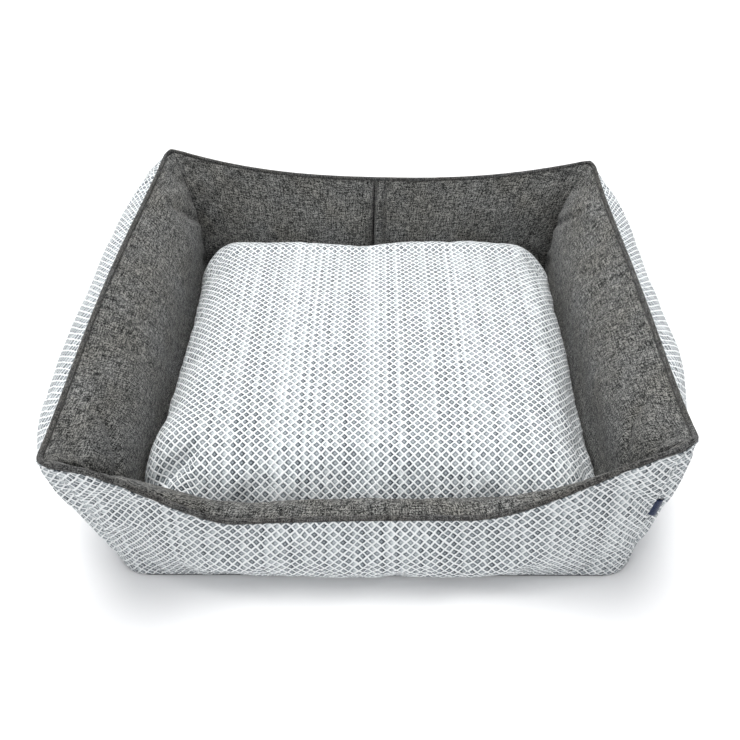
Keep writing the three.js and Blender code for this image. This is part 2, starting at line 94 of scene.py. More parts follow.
BASE_INSET = 17.0
PIPING_RADIUS = 3.0
CLOTH = 1.2
MIDDLE_Y = (base_low[1] + base_high[1]) / 2
HALF_WIDTH = (base_high[0] - base_low[0]) / 2 + BASE_INSET
HALF_DEPTH = (base_high[1] - base_low[1]) / 2 + BASE_INSET
CORNER_TOP = piping_high[2] - PIPING_RADIUS + 1.5
ENTRY_TOP = piping_low[2] + PIPING_RADIUS
WALL_FOOT = base_high[2] + 0.4
INNER_INSET = 56.0
print(f"rim {2 * HALF_WIDTH:.0f} x {2 * HALF_DEPTH:.0f} mm, corners {CORNER_TOP:.0f}, entry {ENTRY_TOP:.0f}")

# %% [markdown]
# ## Small tools
#
# A sewn piece here is a grid of points: one direction runs along the seam, the other across the cloth.
# `shell` gives a grid a thickness and closes its edges, so each cloth is a real closed sheet. `noise`
# is a smooth random field with a wavelength in millimetres and a fixed seed, for soft wrinkles.


# %% Numbers: blending, curves and noise
def mix(a, b, share):
    return a + (b - a) * share


def smooth(x):
    t = np.clip(x, 0.0, 1.0)
    return t * t * (3 - 2 * t)


def bezier(a, b, c, d, t):
    s = 1 - t
    return a * s**3 + 3 * b * s * s * t + 3 * c * s * t * t + d * t**3


def noise(x, y, wavelength, seed):
    """Smooth values from -1 to 1 at points x, y in millimetres."""
    table = np.random.RandomState(seed).uniform(-1, 1, (64, 64))
    px, py = np.asarray(x) / wavelength + 16.3, np.asarray(y) / wavelength + 23.7
    ix, iy = np.floor(px).astype(int), np.floor(py).astype(int)
    fx, fy = smooth(px - ix), smooth(py - iy)
    corner = lambda dx, dy: table[(ix + dx) % 64, (iy + dy) % 64]
    low = mix(corner(0, 0), corner(1, 0), fx)
    high = mix(corner(0, 1), corner(1, 1), fx)
    return mix(low, high, fy)


def bump(x, middle, half_width):
    """1 at the middle, 0 from half_width on, smooth between."""
    return smooth(1 - np.abs(np.asarray(x) - middle) / half_width)


# %% Grids to meshes
def grid_normals(points):
    along = np.gradient(points, axis=0)
    across = np.gradient(points, axis=1)
    normals = np.cross(along, across)
    length = np.linalg.norm(normals, axis=2, keepdims=True)
    return normals / np.maximum(length, 1e-9)


def new_object(name, vertices_mm, faces, uvs=None):
    mesh = bpy.data.meshes.new(name)
    mesh.from_pydata((np.asarray(vertices_mm) * MM).tolist(), [], faces)
    if uvs is not None:
        layer = mesh.uv_layers.new(name="cloth_mm")
        loop_vertices = np.empty(len(mesh.loops), int)
        mesh.loops.foreach_get("vertex_index", loop_vertices)
        layer.data.foreach_set("uv", (np.asarray(uvs)[loop_vertices] * MM).ravel())
    mesh.polygons.foreach_set("use_smooth", [True] * len(mesh.polygons))
    mesh.update()
    piece = bpy.data.objects.new(name, mesh)
    bpy.context.scene.collection.objects.link(piece)
    return piece


def grid_faces(rows, columns, start=0, wrap=False, flip=False):
    faces = []
    for i in range(rows if wrap else rows - 1):
        a, b = start + i * columns, start + ((i + 1) % rows) * columns
        for j in range(columns - 1):
            face = (a + j, b + j, b + j + 1, a + j + 1)
            faces.append(face[::-1] if flip else face)
    return faces


def shell(name, points, uvs, thickness=CLOTH, wrap=False):
    """A closed sheet. The grid's normals point to its good side, and the thickness lies behind it."""
    rows, columns = points.shape[:2]
    normals = grid_normals(points)
    if wrap:
        normals[0] = normals[-1] = grid_normals(np.roll(points, 5, axis=0))[5]
    back = points - normals * thickness
    count = rows * columns
    faces = grid_faces(rows, columns, wrap=wrap) + grid_faces(rows, columns, count, wrap, flip=True)
    for i in range(rows if wrap else rows - 1):
        a, b = i * columns, ((i + 1) % rows) * columns
        last = columns - 1
        faces.append((a, a + count, b + count, b))
        faces.append((b + last, b + last + count, a + last + count, a + last))
    if not wrap:
        end = (rows - 1) * columns
        for j in range(columns - 1):
            faces.append((j + 1, j + 1 + count, j + count, j))
            faces.append((end + j, end + j + count, end + j + 1 + count, end + j + 1))
    vertices = np.concatenate([points.reshape(-1, 3), back.reshape(-1, 3)])
    both_uvs = np.concatenate([uvs.reshape(-1, 2)] * 2)
    piece = new_object(name, vertices, faces, both_uvs)
    print(f"{name}: {len(piece.data.polygons)} faces")
    return piece


def cloth_lengths(points):
    """Each point's distance along the two directions of its grid: the place on the flat cloth."""
    across = np.linalg.norm(np.diff(points, axis=1), axis=2)
    across = np.concatenate([np.zeros((len(points), 1)), np.cumsum(across, axis=1)], axis=1)
    middle = points[:, points.shape[1] // 2]
    along = np.concatenate([[0], np.cumsum(np.linalg.norm(np.diff(middle, axis=0), axis=1))])
    return np.stack([np.repeat(along[:, None], points.shape[1], axis=1), across], axis=2)


def lengths_from_middle(points):
    """The same, but measured from the panel's middle, so that the pattern runs true over a domed top."""
    along = np.zeros(points.shape[:2])
    across = np.zeros(points.shape[:2])
    along[1:] = np.cumsum(np.linalg.norm(np.diff(points, axis=0), axis=2), axis=0)
    across[:, 1:] = np.cumsum(np.linalg.norm(np.diff(points, axis=1), axis=2), axis=1)
    column, row = points.shape[0] // 2, points.shape[1] // 2
    return np.stack([along - along[column], across - across[:, row:row + 1]], axis=2)


# %% [markdown]
# ## Materials
#
# `add_node` adds one node with its settings and links. A number given for an input sets the input, and a
# socket links to it, so a material reads from the top down. Colours are sRGB hex values, which is how a
# maker's colour card gives them, and `linear` turns them into the values that light is worked out in.


# %% Node helper and colour
def linear(hex_colour):
    values = [int(hex_colour[i : i + 2], 16) / 255 for i in (1, 3, 5)]
    return [v / 12.92 if v <= 0.04045 else ((v + 0.055) / 1.055) ** 2.4 for v in values] + [1.0]


def add_node(tree, kind, inputs=None, **settings):
    node = tree.nodes.new(kind)
    for key, value in settings.items():
        setattr(node, key, value)
    for key, value in (inputs or {}).items():
        if isinstance(value, bpy.types.NodeSocket):
            tree.links.new(value, node.inputs[key])
        else:
            node.inputs[key].default_value = value
    return node


def new_material(name):
    material = bpy.data.materials.new(name)
    material.use_nodes = True
    material.node_tree.nodes.clear()
    return material, material.node_tree


def finish_material(tree, shader):
    add_node(tree, "ShaderNodeOutputMaterial", {"Surface": shader.outputs[0]})


def maths(tree, operation, a, b=0.0, clamp=False):
    inputs = {0: a} if operation in ("FRACT", "ABSOLUTE", "FLOOR") else {0: a, 1: b}
    return add_node(tree, "ShaderNodeMath", inputs, operation=operation, use_clamp=clamp).outputs[0]


def ramp(tree, factor, stops, interpolation="LINEAR"):
    node = add_node(tree, "ShaderNodeValToRGB", {0: factor})
    node.color_ramp.interpolation = interpolation
    elements = node.color_ramp.elements
    elements.remove(elements[1])
    for number, (place, colour) in enumerate(stops):
        element = elements.new(place) if number else elements[0]
        element.position = place
        element.color = linear(colour) if isinstance(colour, str) else [colour] * 3 + [1.0]
    return node.outputs[0]


# %% [markdown]
# ### Lattice jacquard
#
# Polyester jacquard: a white warp yarn floats in diagonal lines over a grey ground, and makes diamonds
# about 11 mm from point to point. Inside each diamond the darker weft shows as a ring round a paler
# knot. The dye lot of the weft changes from column to column, so the cloth has soft dark and light
# stripes along the warp. The eye gets a crisp, matt, slightly raised lattice.
#
# A texture picture would do, but a formula is sharper and needs no file. The cloth's own UV map is in
# metres, so the pattern follows each panel as it was cut. Two slanted coordinates count the diamonds,
# and the distance from the nearest line shapes the yarn.


# %% Lattice jacquard
DIAMOND_WIDTH = 11.6
DIAMOND_HEIGHT = 11.6
YARN_SHARE = 0.11


def lattice_jacquard():
    material, tree = new_material("lattice_jacquard_woven_polyester")
    place = add_node(tree, "ShaderNodeUVMap", uv_map="cloth_mm").outputs[0]
    wobble = add_node(tree, "ShaderNodeTexNoise", {"Vector": place, "Scale": 90.0, "Detail": 1.0})
    shift = add_node(tree, "ShaderNodeVectorMath", {0: wobble.outputs["Color"], 1: (0.5, 0.5, 0.5)},
                     operation="SUBTRACT").outputs[0]
    small = add_node(tree, "ShaderNodeVectorMath", {0: shift, "Scale": 0.0028}, operation="SCALE").outputs[0]
    moved = add_node(tree, "ShaderNodeVectorMath", {0: place, 1: small}, operation="ADD").outputs[0]
    axes = add_node(tree, "ShaderNodeSeparateXYZ", {0: moved})
    across = maths(tree, "DIVIDE", axes.outputs[0], DIAMOND_WIDTH * MM)
    along = maths(tree, "DIVIDE", axes.outputs[1], DIAMOND_HEIGHT * MM)
    rising = maths(tree, "ADD", across, along)
    falling = maths(tree, "SUBTRACT", across, along)
    rising_cell = maths(tree, "FLOOR", rising)
    falling_cell = maths(tree, "FLOOR", falling)
    rising_part = maths(tree, "SUBTRACT", maths(tree, "FRACT", rising), 0.5)
    falling_part = maths(tree, "SUBTRACT", maths(tree, "FRACT", falling), 0.5)
    reach = maths(tree, "MAXIMUM", maths(tree, "ABSOLUTE", rising_part), maths(tree, "ABSOLUTE", falling_part))
    column = maths(tree, "ADD", rising_cell, falling_cell)
    row = maths(tree, "SUBTRACT", rising_cell, falling_cell)
    per_column = add_node(tree, "ShaderNodeTexWhiteNoise", {"W": column}, noise_dimensions="1D")
    cell = add_node(tree, "ShaderNodeCombineXYZ", {0: column, 1: row})
    per_cell = add_node(tree, "ShaderNodeTexWhiteNoise", {"Vector": cell.outputs[0]}, noise_dimensions="2D")
    # the dark side of the ring lies left or right of the knot, the same down a whole column
    sideways = maths(tree, "ADD", rising_part, falling_part)
    lean = maths(tree, "MULTIPLY", sideways, maths(tree, "SUBTRACT", per_column.outputs[0], 0.5))
    dye = maths(tree, "ADD", maths(tree, "MULTIPLY", per_column.outputs[0], 0.45),
                maths(tree, "MULTIPLY", per_cell.outputs[0], 0.34))
    ring = ramp(tree, reach, [(0.0, 0.45), (0.11, 0.5), (0.21, 1.0), (0.30, 0.95), (0.36, 0.55), (0.42, 0.3)],
                "EASE")
    depth = maths(tree, "MULTIPLY", ring, maths(tree, "ADD", maths(tree, "ADD", dye, 0.28),
                  maths(tree, "MULTIPLY", lean, 1.5)), clamp=True)
    ground = ramp(tree, depth, [(0.0, "#dfe4e5"), (0.35, "#a3aaad"), (0.7, "#666d72"), (1.0, "#383e44")])
    yarn = ramp(tree, reach, [(0.5 - YARN_SHARE - 0.07, 0.0), (0.5 - YARN_SHARE + 0.04, 1.0)], "EASE")
    twist = add_node(tree, "ShaderNodeTexNoise", {"Vector": place, "Scale": 1500.0, "Detail": 2.0})
    white = ramp(tree, twist.outputs["Fac"], [(0.3, "#d8dcdd"), (0.6, "#fbfcfc")])
    colour = add_node(tree, "ShaderNodeMix", {0: yarn, 6: ground, 7: white}, data_type="RGBA").outputs[2]
    round_yarn = ramp(tree, reach, [(0.0, 0.35), (0.12, 0.3), (0.3, 0.0), (0.36, 0.45), (0.46, 1.0)], "EASE")
    height = maths(tree, "ADD", round_yarn, maths(tree, "MULTIPLY", twist.outputs["Fac"], 0.25))
    relief = add_node(tree, "ShaderNodeBump", {"Height": height, "Distance": 0.0009, "Strength": 0.75})
    shader = add_node(tree, "ShaderNodeBsdfPrincipled", {
        "Base Color": colour, "Roughness": 0.88, "Sheen Weight": 0.12, "Sheen Roughness": 0.5,
        "Specular IOR Level": 0.25, "Normal": relief.outputs[0]})
    finish_material(tree, shader)
    return material


# %% [markdown]
# ### Charcoal linen-look cloth
#
# A plain weave of polyester spun to look like linen: slubby yarns of uneven thickness in charcoal, with
# paler flecks where a fibre catches the light. Real threads are about 0.5 mm apart. Here they are drawn
# 0.9 mm apart, because finer ones would melt into one tone. Two stretched noises at right angles make
# the slubs, and a wave in each direction makes the threads.


# %% Plain woven cloths
def woven_cloth(name, dark, light, thread_mm, relief_mm, warm="#ffffff", sheen=0.12):
    material, tree = new_material(name)
    place = add_node(tree, "ShaderNodeUVMap", uv_map="cloth_mm").outputs[0]
    threads = add_node(tree, "ShaderNodeVectorMath", {0: place, "Scale": 1 / (thread_mm * MM)},
                       operation="SCALE")
    crossing = add_node(tree, "ShaderNodeVectorMath", {0: threads.outputs[0]}, operation="FLOOR").outputs[0]
    per_crossing = add_node(tree, "ShaderNodeTexWhiteNoise", {"Vector": crossing},
                            noise_dimensions="2D").outputs[0]
    heights, slubs = [], []
    for direction, stretch in (("X", (1.0, 0.09, 1.0)), ("Y", (0.09, 1.0, 1.0))):
        wave = add_node(tree, "ShaderNodeTexWave", {
            "Vector": place, "Scale": 0.314 / (thread_mm * MM), "Distortion": 1.2, "Detail": 2.0,
            "Detail Scale": 1.5}, bands_direction=direction)
        long_way = add_node(tree, "ShaderNodeMapping", {"Vector": place, "Scale": stretch})
        uneven = add_node(tree, "ShaderNodeTexNoise", {
            "Vector": long_way.outputs[0], "Scale": 0.8 / (thread_mm * MM), "Detail": 2.0, "Roughness": 0.7})
        heights.append(wave.outputs["Fac"])
        slubs.append(uneven.outputs["Fac"])
    weave = maths(tree, "MAXIMUM", heights[0], heights[1])
    slubby = maths(tree, "ADD", slubs[0], slubs[1])
    cloudy = add_node(tree, "ShaderNodeTexNoise", {"Vector": place, "Scale": 14.0, "Detail": 2.0})
    tone = maths(tree, "ADD", maths(tree, "MULTIPLY", slubby, 0.45), maths(tree, "MULTIPLY", per_crossing, 0.22))
    colour = ramp(tree, tone, [(0.43, dark), (0.56, mid_tone(dark, light)), (0.69, light)])
    tint = ramp(tree, cloudy.outputs["Fac"], [(0.35, "#ffffff"), (0.65, warm)])
    colour = add_node(tree, "ShaderNodeMix", {0: 1.0, 6: colour, 7: tint}, data_type="RGBA",
                      blend_type="MULTIPLY").outputs[2]
    height = maths(tree, "ADD", weave, maths(tree, "MULTIPLY", slubby, 0.5))
    relief = add_node(tree, "ShaderNodeBump", {"Height": height, "Distance": relief_mm * MM, "Strength": 0.6})
    shader = add_node(tree, "ShaderNodeBsdfPrincipled", {
        "Base Color": colour, "Roughness": 0.92, "Sheen Weight": sheen, "Sheen Roughness": 0.45,
        "Specular IOR Level": 0.2, "Normal": relief.outputs[0]})
    finish_material(tree, shader)
    return material


def mid_tone(dark, light):
    pairs = [(int(dark[i : i + 2], 16), int(light[i : i + 2], 16)) for i in (1, 3, 5)]
    return "#" + "".join(f"{(a + b) // 2:02x}" for a, b in pairs)


materials = {
    "lattice_jacquard": lattice_jacquard(),
    "charcoal_linen": woven_cloth("charcoal_linen_look_plain_weave", "#0b0c0d", "#9c9c99", 1.25, 0.6, "#f5f2ec"),
    "piping_cloth": woven_cloth("charcoal_bias_strip_plain_weave", "#121314", "#747472", 1.1, 0.3, "#f5f1ea"),
    "base_cloth": woven_cloth("black_base_cloth_plain_weave", "#1c1d1f", "#333538", 1.0, 0.3, sheen=0.05),
    "tab_ribbon": woven_cloth("navy_woven_satin_ribbon", "#131c33", "#2b3b5e", 0.4, 0.12, sheen=0.4),
    "zip_tape": woven_cloth("grey_knitted_zip_tape", "#8e9394", "#c0c4c5", 0.6, 0.2),
}
print("cloths:", sorted(materials))

# %% [markdown]
# ### Filling, thread, nylon, zinc and rubber
#
# Polyester fibre filling is a cloud of fine white fibres: matt, with soft hollows. Nylon coil is a
# translucent grey monofilament with a soft gloss. The slider is die-cast zinc with a satin nickel plate,
# so it is a metal with a little unevenness in its gloss. The dots under the base are a printed PVC
# rubber, dark and slightly glossy.


# %% Plainer finishes
def fibre_filling():
    material, tree = new_material("polyester_fibre_filling")
    place = add_node(tree, "ShaderNodeTexCoord").outputs["Object"]
    clumps = add_node(tree, "ShaderNodeTexNoise", {"Vector": place, "Scale": 60.0, "Detail": 6.0, "Roughness": 0.7})
    fibres = add_node(tree, "ShaderNodeTexNoise", {"Vector": place, "Scale": 700.0, "Detail": 4.0, "Distortion": 2.0})
    colour = ramp(tree, clumps.outputs["Fac"], [(0.3, "#dcdcd6"), (0.6, "#f6f6f2")])
    height = maths(tree, "ADD", clumps.outputs["Fac"], maths(tree, "MULTIPLY", fibres.outputs["Fac"], 0.3))
    relief = add_node(tree, "ShaderNodeBump", {"Height": height, "Distance": 0.003, "Strength": 0.8})
    shader = add_node(tree, "ShaderNodeBsdfPrincipled", {
        "Base Color": colour, "Roughness": 1.0, "Sheen Weight": 0.4, "Specular IOR Level": 0.1,
        "Normal": relief.outputs[0]})
    finish_material(tree, shader)
    return material


def smooth_finish(name, colours, roughness, metallic=0.0, grain_mm=0.8, coat=0.0):
    """A moulded, cast or spun surface whose tone and gloss vary a little from place to place."""
    material, tree = new_material(name)
    place = add_node(tree, "ShaderNodeTexCoord").outputs["Object"]
    grain = add_node(tree, "ShaderNodeTexNoise", {"Vector": place, "Scale": 1 / (grain_mm * MM), "Detail": 3.0})
    colour = ramp(tree, grain.outputs["Fac"], [(0.35, colours[0]), (0.65, colours[1])])
    gloss = ramp(tree, grain.outputs["Fac"], [(0.3, roughness - 0.06), (0.7, roughness + 0.08)])
    relief = add_node(tree, "ShaderNodeBump", {"Height": grain.outputs["Fac"], "Distance": 0.00004})
    shader = add_node(tree, "ShaderNodeBsdfPrincipled", {
        "Base Color": colour, "Roughness": gloss, "Metallic": metallic, "Coat Weight": coat,
        "Normal": relief.outputs[0]})
    finish_material(tree, shader)
    return material


materials["fibre_filling"] = fibre_filling()
materials["zip_nylon"] = smooth_finish("grey_nylon_monofilament", ("#7f8587", "#a1a6a8"), 0.42)
materials["slider_metal"] = smooth_finish("nickel_plated_zinc_die_casting", ("#b4b6b8", "#cdced0"), 0.3, 1.0)
materials["rubber_dots"] = smooth_finish("printed_pvc_rubber", ("#17181a", "#232527"), 0.5, grain_mm=0.4)
materials["piping_cord"] = smooth_finish("twisted_cotton_cord", ("#d9d4c6", "#efece2"), 0.9, grain_mm=0.5)
materials["white_thread"] = smooth_finish("white_polyester_thread", ("#dfe2e3", "#f7f8f8"), 0.6, grain_mm=0.3)
materials["charcoal_thread"] = smooth_finish("charcoal_polyester_thread", ("#2b2c2d", "#454647"), 0.6,
                                             grain_mm=0.3)
print("finishes:", len(materials))

# %% [markdown]
# ## Camera, floor and light
#
# A product picture of a soft white thing needs light that is broad but has a direction. A pale room gives
# the soft half. The other half is a sun lamp with a very wide disc, high up and a little behind the
# bed: it lights the floor evenly out to the edges, leaves the front wall in gentle shade, and still
# shows the weave's relief. The floor is a plain white sheet. The colour transform is the plain one, so
# that a white cloth stays white.


# %% Camera
def aim_camera(position_mm, turn, tilt, roll, lens):
    """Turn is to the right of +Y, tilt is down from level, both in degrees."""
    turn, tilt, roll = (math.radians(v) for v in (turn, tilt, roll))
    ahead = Vector((math.sin(turn) * math.cos(tilt), math.cos(turn) * math.cos(tilt), -math.sin(tilt)))
    level = Vector((math.cos(turn), -math.sin(turn), 0))
    upright = level.cross(ahead)
    right = level * math.cos(roll) + upright * math.sin(roll)
    up = -level * math.sin(roll) + upright * math.cos(roll)
    data = bpy.data.cameras.new("camera")
    data.lens, data.sensor_width, data.clip_end = lens, 36.0, 20.0
    camera = bpy.data.objects.new("camera", data)
    turned = Matrix((right, up, -ahead)).transposed().to_4x4()
    camera.matrix_world = Matrix.Translation(Vector(position_mm) * MM) @ turned
    bpy.context.scene.collection.objects.link(camera)
    bpy.context.scene.camera = camera


aim_camera((5.0, MIDDLE_Y - 832.0, 857.7), turn=-0.85, tilt=43.45, roll=-0.61, lens=36.97)
print("camera at", [round(v, 3) for v in bpy.context.scene.camera.location])


# %% Floor and lights
def wide_sun(direction, strength, softness):
    data = bpy.data.lights.new("wide_sun", "SUN")
    data.energy, data.angle = strength, math.radians(softness)
    light = bpy.data.objects.new("wide_sun", data)
    light.rotation_euler = Vector(direction).to_track_quat("Z", "Y").to_euler()
    bpy.context.scene.collection.objects.link(light)


def soft_lamp(position, size, power, target=(0, 0, 0.1), spread=180.0):
    data = bpy.data.lights.new("soft_lamp", "AREA")
    data.shape, data.size, data.energy, data.spread = "DISK", size, power, math.radians(spread)
    light = bpy.data.objects.new("soft_lamp", data)
    light.location = position
    light.rotation_euler = (Vector(target) - Vector(position)).to_track_quat("-Z", "Y").to_euler()
    bpy.context.scene.collection.objects.link(light)


def plain_floor():
    mesh = bpy.data.meshes.new("floor")
    reach = 6.0
    mesh.from_pydata([(-reach, -reach, 0), (reach, -reach, 0), (reach, reach, 0), (-reach, reach, 0)], [],
                     [(0, 1, 2, 3)])
    floor_piece = bpy.data.objects.new("floor", mesh)
    bpy.context.scene.collection.objects.link(floor_piece)
    material, tree = new_material("pale_matt_paper")
    shader = add_node(tree, "ShaderNodeBsdfPrincipled", {
        "Base Color": linear("#fcfcfc"), "Roughness": 0.9, "Specular IOR Level": 0.1})
    finish_material(tree, shader)
    mesh.materials.append(material)
    floor_piece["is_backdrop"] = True


def pale_room(strength):
    world = bpy.data.worlds.new("pale_room")
    world.use_nodes = True
    world.node_tree.nodes["Background"].inputs["Color"].default_value = linear("#fbfcff")
    world.node_tree.nodes["Background"].inputs["Strength"].default_value = strength
    bpy.context.scene.world = world


plain_floor()
pale_room(0.56)
wide_sun((-0.10, 0.30, 1.0), 2.6, 38.0)
soft_lamp((-1.1, -1.5, 1.2), 0.8, 2.4)
soft_lamp((0.0, -0.45, 1.9), 0.7, 0.9, (0.0, 0.16, 0.1), 50.0)
bpy.context.scene.view_settings.view_transform = "Standard"

# %% [markdown]
# ## The walls' seams
#
# Each wall runs between two corners of the rim. U goes from -1 to 1 along it. The rim of a real bed is
# never quite square, so each side has its own bow and sag, and the four corners stand a few millimetres
# off the ideal rectangle. That lean is strongest at the rim and fades to nothing at the base, and one
# function, `leaned`, gives it to every piece, so that covers, piping and filling stay together.
#
# The front wall drops to the entry in two S-curves. The rest is the same section all round: a straight
# foot, a bulging outer face, the piping at the top, and an inner face that slopes to the floor. Each face
# is one Bezier curve in section, whose handles say how full the wall is.

# %% The sides of the bed
CORNER_LEAN = {  # how far each rim corner stands off the ideal: right, back, up
    (-1, -1): (-0.8, -6.5, -2.6), (1, -1): (-9.7, 17.4, 4.7),
    (-1, 1): (6.5, 9.7, 9.8), (1, 1): (8.3, -9.7, -4.3),
}
WALLS = {
    "right": dict(outward=(1, 0), half=HALF_DEPTH, away=HALF_WIDTH, bow=9.1, sag=20.9, bulge=92.0, kick=48.0,
                  shoulder=0.935, inner_in=28.0, inner_drop=30.0, plump=20.0, fade=(1.8, 6.0)),
    "back": dict(outward=(0, 1), half=HALF_WIDTH, away=HALF_DEPTH, bow=-3.4, sag=41.4, bulge=74.0, kick=48.0,
                 shoulder=0.93, inner_in=22.0, inner_drop=25.0, plump=4.0, fade=(5.0, 5.0)),
    "left": dict(outward=(-1, 0), half=HALF_DEPTH, away=HALF_WIDTH, bow=17.7, sag=18.6, bulge=106.0, kick=48.0,
                 shoulder=0.935, inner_in=28.0, inner_drop=30.0, plump=20.0, fade=(2.6, 8.0)),
    "front": dict(outward=(0, -1), half=HALF_WIDTH, away=HALF_DEPTH, bow=-14.0, sag=0.0, bulge=17.0, kick=36.0,
                  shoulder=0.8, inner_in=18.0, inner_drop=-14.0, plump=2.0),
}
CORNER = dict(bulge=-10.0, kick=-2.0, shoulder=0.9, inner_in=24.0, inner_drop=30.0)
RIM_ROUNDING = 20.0
FOOT_ROUNDING = 44.0
ENTRY_LEFT = (-349.0, -159.0)    # where the rim's S-curve starts and ends, along X
ENTRY_RIGHT = (113.0, 392.0)
BESIDE_PIPING = PIPING_RADIUS + 0.2
print("walls:", ", ".join(WALLS))


# %% Seam curves
def entry_share(u):
    """0 at the entry, 1 at the tall ends of the front wall."""
    x = np.asarray(u) * HALF_WIDTH
    left = smooth((ENTRY_LEFT[1] - x) / (ENTRY_LEFT[1] - ENTRY_LEFT[0]))
    climb = lambda at: smooth((at - ENTRY_RIGHT[0]) / (ENTRY_RIGHT[1] - ENTRY_RIGHT[0]))
    return np.maximum(left, climb(x) / climb(HALF_WIDTH))


def rim_height(side, u):
    if side == "front":
        return mix(ENTRY_TOP, CORNER_TOP, entry_share(u))
    power = 2.5 if side == "back" else 4.0
    return CORNER_TOP - WALLS[side]["sag"] * (1 - np.abs(u) ** power)


def towards_corner(side, u):
    if side == "front":
        return np.maximum(entry_share(u), np.abs(u) ** 8)
    near, far = WALLS[side]["fade"]     # the sides flatten early towards the front, late towards the back
    is_near = u < 0 if side == "right" else u > 0
    return np.where(is_near, np.abs(u) ** near, np.abs(u) ** far)


def corner_pull(side, u, rounding):
    """How far an arc of this radius lies inside the sharp corner."""
    short = (1 - np.abs(u)) * WALLS[side]["half"]
    turn = np.arccos(np.clip(short / (rounding * math.sqrt(2)), 0, 1)) - math.pi / 4
    return rounding * (1 - np.cos(np.maximum(turn, 0)))


def leaned(points):
    """The bed's own lean: the corners' offsets, blended over the plan, full at the rim."""
    x = np.clip(points[..., 0] / HALF_WIDTH, -1.15, 1.15)
    y = np.clip((points[..., 1] - MIDDLE_Y) / HALF_DEPTH, -1.15, 1.15)
    rise = np.clip(points[..., 2] / CORNER_TOP, 0, 1.05) ** 1.3
    offset = sum(((1 + sx * x) * (1 + sy * y) / 4)[..., None] * np.array(lean)
                 for (sx, sy), lean in CORNER_LEAN.items())
    return points + offset * rise[..., None]


def placed(side, u, outward, height):
    """Points at a distance outward from the rim's straight line. Neighbours meet on the mitre."""
    wall = WALLS[side]
    ox, oy = wall["outward"]
    along, away = u * (wall["half"] + outward), wall["away"] + outward
    return np.stack([ox * away - oy * along, oy * away + ox * along + MIDDLE_Y, height + 0 * outward], axis=-1)


def rim_line(side, u):
    """Distance outward and height of the piping's middle."""
    return WALLS[side]["bow"] * (1 - u * u) - corner_pull(side, u, RIM_ROUNDING), rim_height(side, u)


print("wall middle heights:", {side: round(float(rim_height(side, 0.0)), 1) for side in WALLS})


# %% Outer and inner faces of a wall
def towards(side, u, key):
    """A section's value: the wall's own at its middle, the corner's at its ends. The kick fades first."""
    share = towards_corner(side, u)
    if key == "kick" and side != "front":
        share = np.maximum(share, np.abs(u) ** 2.6)
    if key in ("inner_in", "inner_drop") and side != "front":
        share = np.abs(u) ** 5
    return mix(WALLS[side][key], CORNER[key], share)


def outer_face(side, u, t):
    """T runs from the foot, 0, to the piping, 1."""
    rim, height = rim_line(side, u)
    foot = -BASE_INSET - corner_pull(side, u, FOOT_ROUNDING)
    between = -BASE_INSET - corner_pull(side, u, mix(FOOT_ROUNDING, RIM_ROUNDING, 0.4))
    outward = bezier(foot, between + towards(side, u, "kick"), rim + towards(side, u, "bulge"),
                     rim + BESIDE_PIPING, t)
    up = bezier(WALL_FOOT, 0.24 * height, towards(side, u, "shoulder") * height, height - 1.6, t)
    return placed(side, u, outward, up)


def inner_face(side, u, t):
    """T runs from the piping, 0, to the foot, 1. The side walls are plump over the cushion."""
    rim, height = rim_line(side, u)
    entry = 1 - towards_corner(side, u) if side == "front" else 0.0
    outward = bezier(rim - BESIDE_PIPING, rim - towards(side, u, "inner_in"), -INNER_INSET + 3 + 0 * u,
                     -INNER_INSET + 0 * u, t)
    up = bezier(height - 1.6, height - towards(side, u, "inner_drop"), mix(0.42, 1.12, entry) * height,
                WALL_FOOT, t)
    from_seam = np.clip((1 - np.abs(u)) * WALLS[side]["half"] / 75.0, 0, 1)
    fullness = np.sqrt(1 - (1 - from_seam) ** 2) * np.sin(math.pi * np.clip(t / 0.70, 0, 1)) ** 1.25
    return placed(side, u, outward - WALLS[side]["plump"] * fullness, up)


def wall_grid(side, face, columns, rows, u_range=(-1.0, 1.0)):
    """Columns stand closer together towards the corners, where the wall turns."""
    even = np.linspace(*u_range, columns)
    u = mix(even, np.sin(even * math.pi / 2), 0.5)[:, None] * np.ones((1, rows))
    t = np.linspace(0, 1, rows)[None, :] * np.ones((columns, 1))
    return u, t, face(side, u, t)


# %% [markdown]
# ## Sewn cloth under pressure
#
# A filled wall or cushion is cloth cut a little larger than the shape it is held in, with filling that
# pushes it out. The folds that this gives can't be drawn by rule, so each panel is settled by Blender's
# cloth simulation: the seams are pinned, the cloth is given one or two percent of slack, and pressure
# stands for the filling. Gravity is off, because the filling carries the cloth. Afterwards no point
# may be more than `most` millimetres from where the pattern had put it, so that the panels keep clear
# of each other. The simulated mesh is only read for its points and is then deleted.


# %% Settle a panel by cloth simulation
SETTLE_FRAMES = 18


